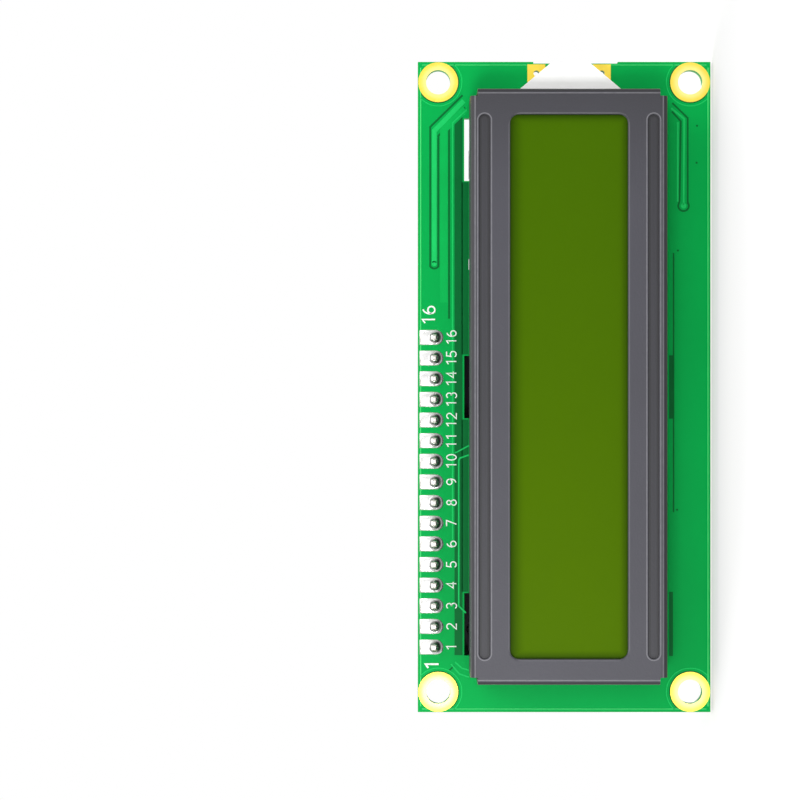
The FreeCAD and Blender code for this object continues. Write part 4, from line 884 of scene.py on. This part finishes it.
def rear_relief():
    """Traces, etched gaps and print of the rear face."""
    look = board_look()
    broad_route = [(8.5, 14.35), (34.4, 14.35), (37.2, 11.9), (37.2, 5.0)]
    hooked_route = [(17.1, 7.84), (19.9, 7.84), (20.7, 7.15), (20.7, 1.36), (19.1, -0.6)]
    fan_pitch, lag, slant, fan_end = 0.295, 0.12, 4.6, 20.4
    gaps = Layer(REAR, 1.0, look.gap_height / MM)
    gaps.lines(
        0.30,
        [(-35.1, 0.4), (-35.1, -7.2), (-36.1, -7.8), (-36.1, -12.5), (-33.2, -15.32), (23.2, -15.32)],
        [(-34.2, 0.4), (-34.2, -6.8), (-35.3, -8.0), (-35.3, -12.1), (-32.8, -14.09), (22.4, -14.09)],
    )
    gaps.line([(-35.5, -17.75), (-32.0, -16.69), (34.5, -16.69)], 0.26)
    gaps.line([(23.9, -14.1), (24.98, -13.6), (24.98, 1.0)], 0.30)
    gaps.lines(0.30, [(8.5, 15.05), (13.3, 15.05), (15.2, 16.2)], [(8.5, 13.85), (17.0, 13.85)])
    gaps.lines(0.58, *escape_traces())
    for step in range(10):
        z = -6.63 - fan_pitch * step
        start, bend = 5.5 - lag * step, 10.1 - lag * step
        gaps.line([(-4.6 + 0.5 * step, z + slant), (start, z + slant), (bend, z), (fan_end, z)], 0.13)
    for step in range(8):
        z = -5.3 - 0.6 * step
        gaps.line([(-20.8, z), (-18.5, z), (-17.6, z + 0.35), (-16.5, z + 0.35)], 0.22)
    gaps.line(broad_route, 1.0)
    gaps.line(hooked_route, 0.70)
    gaps.vias([(22.2, 7.3), (22.1, 5.6), (22.0, 4.0), (23.6, 7.0), (23.6, 5.3)], 0.34)
    corner_arcs(gaps, 2.52, 0.16, 118, 332)
    gaps.piece("rear_gaps", finish("gap_mask", look.bare_mask), "green_board")

    # Traces along the board's edges, in a brighter mask as a painted highlight.
    lit = Layer(REAR, 1.0, look.trace_height / MM)
    lit.line([(-35.45, 0.4), (-35.45, -6.45), (-36.53, -7.54), (-36.53, -12.73), (-33.4, -15.96),
              (22.9, -15.96), (24.5, -14.3), (24.5, 0.4)], 0.30)
    lit.line([(-34.7, 0.4), (-34.7, -6.95), (-35.7, -7.94), (-35.7, -12.3), (-33.0, -14.7), (22.6, -14.7)],
             0.55)
    lit.line([(-36.4, -17.3), (35.4, -17.3)], 0.50)
    lit.piece("rear_lit_traces", finish("highlight_mask", look.highlight_trace), "green_board")

    traces = Layer(REAR, 1.0, look.trace_height / MM)
    traces.line([(-25.7, -8.3), (-34.36, -8.3), (-34.36, -11.64), (-33.7, -12.46)], 0.24)
    traces.lines(0.16, [(-25.5, -13.6), (-15.8, -13.6)], [(3.8, -13.6), (23.4, -13.6)])
    traces.lines(0.26, *escape_traces())
    for step in range(9):
        z = -6.78 - fan_pitch * step
        fan = 1.2 + 0.28 * step
        bend = 10.1 - lag * step
        traces.line([(-4.4 + 0.5 * step, z + slant), (bend - slant, z + slant), (bend, z), (fan_end, z),
                     (fan_end + fan * 0.6, z + (4 - step) * 0.22)], 0.15)
    for step in range(7):
        z = -1.0 + 0.42 * step
        far_z = z - 0.5 * (step % 2)
        traces.line([(20.6 + 0.35 * step, z), (22.4, far_z), (24.6, far_z)], 0.15)
    for step in range(7):
        z = -5.6 - 0.6 * step
        traces.line([(-20.8, z), (-18.6 + 0.2 * (step % 3), z), (-17.6, z + 0.35), (-16.5, z + 0.35)], 0.16)
    traces.line(broad_route, 0.50)
    for step in range(4):
        traces.line([(30.2, 3.4 - step), (28.4, 2.2 - step)], 0.34)
    traces.line(hooked_route, 0.30)
    traces.lines(0.18, route([(-4.3, -4.2)], arc((-5.4, -5.6), 0.9, 60, -60, 6), [(-5.9, -8.6)]),
                 route([(-4.2, -6.2)], arc((-5.2, -7.4), 0.8, 60, -60, 6), [(-6.2, -9.1)]))
    holes = [path[0] for path in escape_traces()]
    holes += [(-19.2, -4.8), (-19.25, -6.05), (-19.25, -7.4), (-13.4, -8.25), (-12.4, -8.1), (-11.3, -8.1),
              (-10.35, -8.5), (-9.5, -8.95), (15.3, 16.3), (22.6, -14.65), (-4.1, -4.1), (-4.1, -6.1),
              (-6.0, -8.7), (-6.3, -9.2)]
    holes += [(22.35, z) for z in (-2.5, -3.8, -5.1, -6.4, -7.7, -8.95)]
    holes += [(23.4, z) for z in (-3.65, -5.05, -6.5, -7.8)]
    traces.vias(holes, 0.32)
    traces.piece("rear_traces", finish("trace_mask", look.trace), "green_board")

    marks = Layer(REAR, 1.0, look.ink_height / MM)
    fine, broad = 0.18, 0.32
    marks.frame((-33.3, -7.8), (-28.5, -2.15), broad)
    marks.lines(broad, [(-33.3, -3.1), (-28.5, -3.1)], [(-33.3, -5.3), (-28.5, -5.3)])
    marks.frame((-24.7, -7.55), (-20.05, -2.8), broad)
    marks.line([(-24.7, -5.2), (-20.05, -5.2)], broad)
    for inner, turn in ((19.3, 16.98), (21.1, 23.2)):
        marks.line([(inner, 14.1), (turn, 14.1), (turn, 11.3), (inner, 11.3)], 0.38)
    marks.ring((-12.6, -0.7), 5.94, 1.50, 72)
    marks.ring((13.2, 0.4), 5.00, 1.32, 72)
    for x in (27.15, 29.55, 31.9):
        marks.ring((x, 5.65), 1.22, fine, 32)
    marks.line(route([(30.75, 4.25), (30.75, -1.0), (28.1, -1.0), (28.1, 4.25)],
                     arc((29.43, 4.25), 0.45, 180, 0, 7)), fine, closed=True)
    marks.frame((26.75, -4.3), (32.85, -1.45), 0.36)
    marks.frame((26.75, -7.85), (32.85, -5.05), 0.36)
    for z in (-3.1, -6.65):
        marks.lines(0.22, [(24.5, z), (25.7, z)], [(25.1, z - 0.6), (25.1, z + 0.6)])
    marks.frame((37.55, 2.6), (39.65, 4.65), fine)
    marks.frame((37.55, -5.55), (39.65, -3.5), fine)
    for place in LOCATING_HOLES:
        marks.ring(place, 0.84, 0.08, 28)
    marks.line([(23.4, -16.69), (34.8, -16.69)], 0.10)
    marks.piece("rear_print", finish("ink"), "white_plastic")


# Adapter board

def adapter_print():
    """Print, with thin ink lines as painted highlights of traces under the mask, and tented traces of the
    adapter board.
    """
    look = board_look()
    layer = Layer(SHELF, 1.0, look.ink_height / MM)
    fine, broad = 0.20, 0.36
    low, high = (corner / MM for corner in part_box("adapter_board"))
    layer.line([(-33.3, 14.75), (7.1, 14.75)], broad)
    layer.lines(fine, *([(x, 17.1), (x, 14.75)] for x in (-33.3, 7.1, -30.7)))
    margin = 0.15
    right, bottom = high.x - margin, low.z + margin
    layer.lines(0.12, [(low.x + margin, high.z - 0.12), (right, high.z - 0.12)],
                [(right, high.z - 0.3), (right, bottom), (low.x + 0.3, bottom)])
    layer.line([(-31.7, 12.6), (-30.75, 12.6), (-30.75, 1.95), (-31.7, 1.95)], 0.28)
    # Painted highlights: the thin ink lines below follow traces under the black mask.
    layer.lines(fine, [(-29.2, 2.3), (-26.2, -0.75)], [(-27.85, 2.3), (-25.85, 0.2)],
                [(-19.45, 0.4), (-16.0, 0.4)], [(-19.45, -0.65), (-5.4, -0.65), (-4.8, 0.1)])
    layer.line([(-16.7, -0.65), (-10.8, -0.65)], 0.3)
    layer.line([(-27.1, 11.62), (-19.5, 11.62), (-19.5, 4.35)], fine)
    for start, end in ((-15.9, -12.55), (-11.35, -8.0), (-7.35, -4.0)):
        layer.brackets((start, 2.3), (end, 0.35), (end - start) * 0.38, broad)
    for first, last in (((-3.8, 8.5), (-0.05, 11.8)), ((-4.55, 3.8), (-0.25, 7.15)),
                        ((0.1, 3.8), (3.65, 7.15))):
        layer.brackets(first, last, 1.2, broad)
    layer.line([(7.35, 11.55), (4.45, 11.55), (4.45, 6.0), (7.35, 6.0)], broad)
    z = 10.3
    for x in (-0.1, 3.2):
        layer.lines(fine, [(x, z + 0.9), (x, z + 0.35)], [(x, z - 0.9), (x, z - 1.45)])
    layer.piece("adapter_print", finish("ink"), "white_plastic")

    tents = Layer(SHELF, 1.0, look.trace_height / MM)
    tents.vias([(-1.1, 12.5), (1.75, 13.0), (-17.6, 3.2), (-18.3, 6.5), (-6.0, 13.2), (-28.2, 3.0)], 0.34)
    tents.lines(0.22, [(-16.8, 13.4), (-6.5, 13.4)], [(-15.9, 0.0), (-15.9, -1.2), (-2.0, -1.2)],
                [(-1.1, 12.5), (2.0, 12.5), (2.0, 13.0)], [(-18.3, 6.5), (-18.3, 3.2), (-17.6, 3.2)])
    tents.piece("adapter_traces", finish("black_trace", (0.020, 0.020, 0.028)), "black_board")


# Solder, resin and small parts

def joint_profile(height, foot, waist, rows=7):
    """A concave fillet, closed on top: radius = waist + (foot - waist) (1 - s)^2.4 at rise s * height."""
    share = np.linspace(0.0, 1.0, rows)
    radius = waist + (foot - waist) * (1.0 - share) ** 2.4
    crown = [(waist * 0.75, height * 1.0), (waist * 0.2, height * 1.0)]
    return [(foot, -0.03)] + list(zip(radius, share * height * 0.96)) + crown


def joints(name, node, places, level, side, height, make):
    """Solder joints on a row of pads, each a little different in size."""
    look = bpy.context.scene.display_solder
    rng = np.random.default_rng(len(places) + int(side))
    shapes = []
    for x, z in places:
        tall, wide = rng.uniform(0.80, 1.0), rng.uniform(0.94, 1.04)
        profile = joint_profile(height * tall, look.joint_foot / MM * wide, look.joint_waist / MM)
        shapes.append(lathe((x, level, z), profile, 22, side))
    return solid(name, shapes, finish(make), replaced=(node,), smooth=40)


def front_pads():
    """Tinned pads, domed by drawing a round-ended outline inward as it rises."""
    half, outer = 0.93, 17.80
    turn = np.radians(np.linspace(180.0, 360.0, 13))
    shapes = []
    for x, z in PINS:
        rings = []
        for inset, rise in ((0.0, -0.02), (0.06, 0.05), (0.20, 0.10), (0.45, 0.13)):
            reach = half - inset
            along = np.concatenate((x + reach * np.cos(turn), [x + reach, x - reach]))
            up = np.concatenate((z - 0.24 + reach * np.sin(turn), [outer - inset, outer - inset]))
            rings.append(np.stack((along, np.full(along.shape, FRONT - rise), up), axis=1))
        shapes.append(tube(np.stack(rings)))
    solid("front_pads", shapes, finish("front_solder"), replaced=("front_header_pads",), smooth=50)


def solder_joints():
    """Joints on both sides of the header, and the tinned pads in front."""
    front_low, front_high = (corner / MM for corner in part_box("front_solder_joints"))
    rear_low, rear_high = (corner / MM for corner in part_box("rear_solder_joints"))
    front_reach, rear_reach = front_high.y - front_low.y, rear_high.y - rear_low.y
    joints("front_joints", "front_solder_joints", PINS, front_high.y, -1.0, front_reach, "front_solder")
    joints("rear_joints", "rear_solder_joints", PINS, rear_low.y, 1.0, rear_reach, "rear_solder")
    front_pads()


def drop(node, ripple, dent, bite):
    """A resin drop: rise = edge + (top - edge) (1 - (r / R)^2.6)^0.75, with R wavering round
    the rim and drawn in on one side."""
    low, high = (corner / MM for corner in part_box(node))
    look = bpy.context.scene.display_solder
    radius = (high.x - low.x) / 2.0
    centre = (low + high) / 2.0
    rows, turns = 18, 96
    share = np.linspace(1.0, 0.02, rows)[:, None]
    turn = np.arange(turns)[None, :] * math.tau / turns
    slow, quick = np.sin(2.0 * turn + ripple), np.sin(5.0 * turn + 2.0 * ripple)
    waver = 1.0 - 0.02 * (1.0 + slow) - 0.008 * (1.0 + quick)
    away = (turn - math.radians(bite) + math.pi) % math.tau - math.pi
    waver = waver - 0.075 * np.exp(-(away / 0.55) ** 2)
    edge, top = look.drop_edge / MM, high.y - low.y
    rise = edge + (top - edge) * (1.0 - share ** 2.6) ** 0.75
    x = radius * waver * share * np.cos(turn)
    z = radius * waver * share * np.sin(turn)
    hollow = np.exp(-((x - dent[0]) ** 2 + (z - dent[1]) ** 2) / 3.5)
    rise = np.maximum(rise * (1.0 - 0.16 * hollow), edge * 0.5)
    foot = np.stack((x[:1], np.zeros((1, turns)) - 0.02, z[:1]), axis=2)
    skin = np.stack((x, np.broadcast_to(rise, x.shape), z), axis=2)
    sections = np.concatenate((foot, skin)) + np.array([centre.x, low.y, centre.z])
    return tube(sections)


def resin_drops():
    """One drop over each of the two chips."""
    solid("controller_drop", [drop("controller_resin", 0.6, (1.5, -2.0), 233.0)], finish("resin"),
          replaced=("controller_resin",), smooth=60)
    solid("driver_drop", [drop("driver_resin", 2.1, (-1.0, 1.4), 40.0)], finish("resin"),
          replaced=("driver_resin",), smooth=60)


def slab(low, high, bevel, foot=0.0):
    """A bar on a board with round corners, spread by the foot below and drawn in by the bevel on top.

    point = middle + sign(n) (half + spread - bevel) + bevel n."""
    low, high = np.asarray(low, float), np.asarray(high, float)
    middle, half = (low + high) / 2.0, (high - low) / 2.0
    turn = np.radians(np.arange(15.0, 360.0, 30.0))
    normal = np.stack((np.cos(turn), np.sin(turn)), axis=1)
    rows = [(foot, low[1])] + ([(0.0, low[1] + foot)] if foot else [])
    rows += [(0.0, high[1] - bevel), (-bevel * 0.4, high[1] - bevel * 0.25), (-bevel, high[1])]
    sections = []
    for spread, y in rows:
        flat = np.sign(normal) * (half[[0, 2]] + spread - bevel) + bevel * normal
        x, z = middle[0] + flat[:, 0], middle[2] + flat[:, 1]
        sections.append(np.stack((x, np.full(len(turn), y), z), axis=1))
    return tube(np.stack(sections))


def chip(place, level, size, turned, tip, run):
    """A chip part's body, and its two metal ends with the solder beyond them."""
    long, width, thick = size

    def bar(start, end, half, bottom, top, bevel, foot=0.0):
        low, high = (start, -half), (end, half)
        if turned:
            low, high = (-half, start), (half, end)
        return slab((place[0] + low[0], level + bottom, place[1] + low[1]),
                    (place[0] + high[0], level + top, place[1] + high[1]), bevel, foot)

    half = long / 2.0
    body = bar(tip * 0.8 - half, half - tip * 0.8, width / 2.0 - 0.02, 0.03, thick - 0.02, 0.05)
    metal = []
    for side in (-1.0, 1.0):
        ends = sorted((side * (half - tip), side * half))
        metal.append(bar(ends[0], ends[1], width / 2.0, 0.0, thick, 0.08))
        ends = sorted((side * (half - 0.1), side * (half + run * 0.7)))
        metal.append(bar(ends[0], ends[1], width / 2.0 - 0.02, -0.02, thick * 0.62, 0.16, run * 0.28))
    return body, metal


def chips():
    """Chip parts of both boards, each kind with its own body finish."""
    small, large = (1.7, 0.95, 0.5), (2.2, 1.15, 0.5)
    kinds = (
        ("main_board_resistors", "resistor_body", "chip_black", REAR, large, 0.42, 0.8,
         [(-30.95, -6.5, False), (-30.95, -4.1, False), (-30.95, -1.8, False), (-22.5, -3.8, False)]),
        ("lamp_resistor", "resistor_body", "chip_black", REAR, (3.0, 1.5, 0.5), 0.6, 0.5,
         [(20.2, 12.8, False)]),
        ("adapter_resistors", "resistor_body", "chip_black", SHELF, small, 0.56, 0.4,
         [(-14.1, 1.3, False), (-9.6, 1.3, False), (-5.6, 1.3, False), (-3.6, 5.5, True), (-1.3, 5.5, True),
          (-0.9, 10.1, True)]),
        ("adapter_capacitors", "capacitor_tan", "capacitor_tan", SHELF, small, 0.42, 0.3,
         [(0.8, 5.5, True), (-2.8, 10.1, True)]),
        ("power_lamp", "lamp_lens", "lamp_lens", SHELF, small, 0.42, 0.3, [(2.8, 5.5, True)]),
    )
    for name, make, slot, level, size, tip, run, places in kinds:
        bodies, metals = [], []
        for x, z, turned in places:
            body, metal = chip((x, z), level, size, turned, tip, run)
            bodies.append(body)
            metals.extend(metal)
        ends = name.removesuffix("s") + "_ends"
        known = name in frame["nodes"]
        solid(name + "_bodies", bodies, finish(make), replaced=(name,) if known else (), smooth=40)
        solid(name + "_metal", metals, finish("chip_solder"), replaced=(ends,) if known else (),
              smooth=40)


def lead_feet():
    """Mounds of solder over the feet of the port expander's leads."""
    shapes = []
    row_middle, lead_pitch, half, long = 7.59, 1.27, 0.36, 1.55
    for start in (-17.55, -6.75):
        for number in range(8):
            z = row_middle + lead_pitch * (number - 3.5)
            low, high = (start, SHELF - SINK, z - half), (start + long, SHELF + 0.24, z + half)
            shapes.append(slab(low, high, 0.14, 0.08))
    solid("expander_solder", shapes, finish("chip_solder"), smooth=40)


def nicked_bars():
    """Header bodies and the spacer, nicked between their pins."""
    bodies = (("output_header_body", 2, 4), ("jumper_header_body", 2, 2), ("board_spacer", 0, PIN_COUNT))
    for node, axis, count in bodies:
        low, high = (np.array(corner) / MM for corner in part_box(node))
        step = np.zeros(3)
        step[axis] = (high - low)[axis] / count
        piece = high - low
        piece[axis] = step[axis]
        shapes = [slab(low + step * number, low + step * number + piece, 0.34) for number in range(count)]
        solid(node + "_bars", shapes, finish("black_plastic"), replaced=(node,), smooth=20)


def trimmer_mark():
    """The small raised ring beside the trimmer's rotor, kept below the case's highest face."""
    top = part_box("trimmer_body")[1].y / MM
    layer = Layer(top - 0.03, 1.0, 0.03)
    layer.ring((-21.1, 6.1), 0.32, 0.12, 20)
    layer.piece("trimmer_mark", finish("trimmer_blue"), "trimmer_blue")


# Operators

class DISPLAY_OT_finishes(Operator):
    """Give every CAD node the finish of its slot in the record"""

    bl_idname = "display.finishes"
    bl_label = "Finishes"

    def execute(self, context):
        for part in frame["record"]["subparts"]:
            node = frame["nodes"][part["node"]]
            name = NODE_FINISHES.get(part["node"], part["material_slot"])
            node.data.materials.clear()
            node.data.materials.append(finish(name))
        return {"FINISHED"}


class DISPLAY_OT_front_relief(Operator):
    """Add the front face's traces, gaps and print"""

    bl_idname = "display.front_relief"
    bl_label = "Front relief"

    def execute(self, context):
        front_relief()
        return {"FINISHED"}


class DISPLAY_OT_rear_relief(Operator):
    """Add the rear face's traces, gaps and print"""

    bl_idname = "display.rear_relief"
    bl_label = "Rear relief"

    def execute(self, context):
        rear_relief()
        return {"FINISHED"}


class DISPLAY_OT_adapter_print(Operator):
    """Add the adapter board's traces and print"""

    bl_idname = "display.adapter_print"
    bl_label = "Adapter print"

    def execute(self, context):
        adapter_print()
        return {"FINISHED"}


class DISPLAY_OT_solder_joints(Operator):
    """Put concave solder joints on the header's pads"""

    bl_idname = "display.solder_joints"
    bl_label = "Solder joints"

    def execute(self, context):
        solder_joints()
        return {"FINISHED"}


class DISPLAY_OT_resin_drops(Operator):
    """Cover the two chips with resin drops"""

    bl_idname = "display.resin_drops"
    bl_label = "Resin drops"

    def execute(self, context):
        resin_drops()
        return {"FINISHED"}


class DISPLAY_OT_chips(Operator):
    """Build the chip parts with their solder, and the solder on the port expander's leads"""

    bl_idname = "display.chips"
    bl_label = "Chips"

    def execute(self, context):
        chips()
        lead_feet()
        return {"FINISHED"}


class DISPLAY_OT_nicked_bars(Operator):
    """Nick the header bodies and the spacer between their pins"""

    bl_idname = "display.nicked_bars"
    bl_label = "Nicked bars"

    def execute(self, context):
        nicked_bars()
        return {"FINISHED"}


class DISPLAY_OT_trimmer_mark(Operator):
    """Add the small ring on the trimmer"""

    bl_idname = "display.trimmer_mark"
    bl_label = "Trimmer mark"

    def execute(self, context):
        trimmer_mark()
        return {"FINISHED"}


class DISPLAY_OT_stage(Operator):
    """Set up the floor, the lamps, the world and the camera"""

    bl_idname = "display.stage"
    bl_label = "Stage"

    def execute(self, context):
        floor()
        lamps()
        world()
        camera()
        context.scene.view_settings.view_transform = "Standard"
        return {"FINISHED"}


# Floor, lamps, world and camera

def seen_directly(shader):
    """1 for rays that show the background: from the camera, in a mirror or through glass."""
    names = ("Is Camera Ray", "Is Glossy Ray", "Is Transmission Ray")
    shown, mirrored, through = (shader.node("LightPath", output=name) for name in names)
    return (shown + mirrored + through).low(1.0)


def floor():
    """A pale floor just under the module, plain white far from it."""
    low, high = (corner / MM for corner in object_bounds())
    reach, level = 2500.0, low.z - 0.3
    points = [(-reach, -reach, level), (reach, -reach, level), (reach, reach, level), (-reach, reach, level)]
    mesh = bpy.data.meshes.new("floor")
    mesh.from_pydata(np.array(points) * MM, [], [[0, 1, 2, 3]])
    shader = Shader("floor")
    grain = shader.noise(0.01)
    base = shader.mix(grain, (0.90, 0.90, 0.90), (0.93, 0.93, 0.93))
    matt = shader.node("BsdfPrincipled",
                       inputs={"Base Color": base, "Roughness": 0.9, "Specular IOR Level": 0.0})
    white = shader.node("Emission", inputs={"Color": WHITE, "Strength": 1.0})
    reach_out = (shader.x * shader.x + shader.y * shader.y).power(0.5)
    far = (0.55 + reach_out.above(130.0, 90.0) * 0.45) * seen_directly(shader)
    mesh.materials.append(shader.end(shader.node("MixShader", inputs={0: far, 1: matt, 2: white})))
    piece = bpy.data.objects.new("floor", mesh)
    bpy.context.scene.collection.objects.link(piece)
    piece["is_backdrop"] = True


def lamps():
    """Soft area lamps before, behind and above the module."""
    for name, place, size, power in (
        ("key", (0.26, -0.44, 0.34), 0.40, 1.6),
        ("fill", (-0.20, -0.46, 0.07), 0.16, 1.35),
        ("rear_key", (-0.26, 0.42, 0.36), 0.40, 1.8),
        ("rear_fill", (0.20, 0.46, 0.07), 0.16, 1.2),
        ("top", (0.0, 0.0, 0.55), 0.45, 1.1),
    ):
        data = bpy.data.lights.new(name, "AREA")
        data.size = size
        data.energy = power
        lamp = bpy.data.objects.new(name, data)
        lamp.location = place
        lamp.rotation_euler = (-Vector(place)).to_track_quat("-Z", "Y").to_euler()
        bpy.context.scene.collection.objects.link(lamp)


def world():
    """White behind the module, and a soft grey sky that lights it."""
    shader = Shader("studio", bpy.data.worlds.new("studio"))
    sky = shader.node("Background", inputs={"Color": WHITE, "Strength": 0.42})
    wall = shader.node("Background", inputs={"Color": WHITE, "Strength": 1.0})
    blend = shader.node("MixShader", inputs={0: seen_directly(shader), 1: sky, 2: wall})
    bpy.context.scene.world = shader.end(blend, "OutputWorld")


def camera():
    """Looks along +Y at the display face, turned so that +X points up in the picture."""
    look = bpy.context.scene.display_stage
    data = bpy.data.cameras.new("camera")
    data.lens = look.lens
    data.sensor_width = 36.0
    eye = bpy.data.objects.new("camera", data)
    right, up, back = Vector((0.0, 0.0, -1.0)), Vector((1.0, 0.0, 0.0)), Vector((0.0, -1.0, 0.0))
    turned = Matrix((right, up, back)).transposed().to_4x4()
    eye.matrix_world = Matrix.Translation((look.aim_x, -look.distance, look.aim_z)) @ turned
    bpy.context.scene.collection.objects.link(eye)
    bpy.context.scene.camera = eye


# Sidebar

STEPS = (
    DISPLAY_OT_finishes,
    DISPLAY_OT_front_relief,
    DISPLAY_OT_rear_relief,
    DISPLAY_OT_adapter_print,
    DISPLAY_OT_solder_joints,
    DISPLAY_OT_resin_drops,
    DISPLAY_OT_chips,
    DISPLAY_OT_nicked_bars,
    DISPLAY_OT_trimmer_mark,
    DISPLAY_OT_stage,
)
LOOKS = {
    "display_board": DisplayBoardLook,
    "display_parts": DisplayPartsLook,
    "display_solder": DisplaySolderLook,
    "display_stage": DisplayStageLook,
}


class DISPLAY_PT_sidebar(Panel):
    """Lists the looks and the steps"""

    bl_label = "Display module"
    bl_space_type = "VIEW_3D"
    bl_region_type = "UI"
    bl_category = "Display"

    def draw(self, context):
        for name in LOOKS:
            look = getattr(context.scene, name)
            box = self.layout.box()
            for key in look.__annotations__:
                box.prop(look, key)
        for step in STEPS:
            self.layout.operator(step.bl_idname)


def register():
    for group in LOOKS.values():
        bpy.utils.register_class(group)
    for name, group in LOOKS.items():
        setattr(bpy.types.Scene, name, PointerProperty(type=group))
    for step in STEPS:
        bpy.utils.register_class(step)
    bpy.utils.register_class(DISPLAY_PT_sidebar)


def unregister():
    bpy.utils.unregister_class(DISPLAY_PT_sidebar)
    for step in reversed(STEPS):
        bpy.utils.unregister_class(step)
    for name, group in LOOKS.items():
        delattr(bpy.types.Scene, name)
        bpy.utils.unregister_class(group)


def main():
    register()
    for step in STEPS:
        group, name = step.bl_idname.split(".")
        getattr(getattr(bpy.ops, group), name)()


if __name__ == "__main__":
    main()
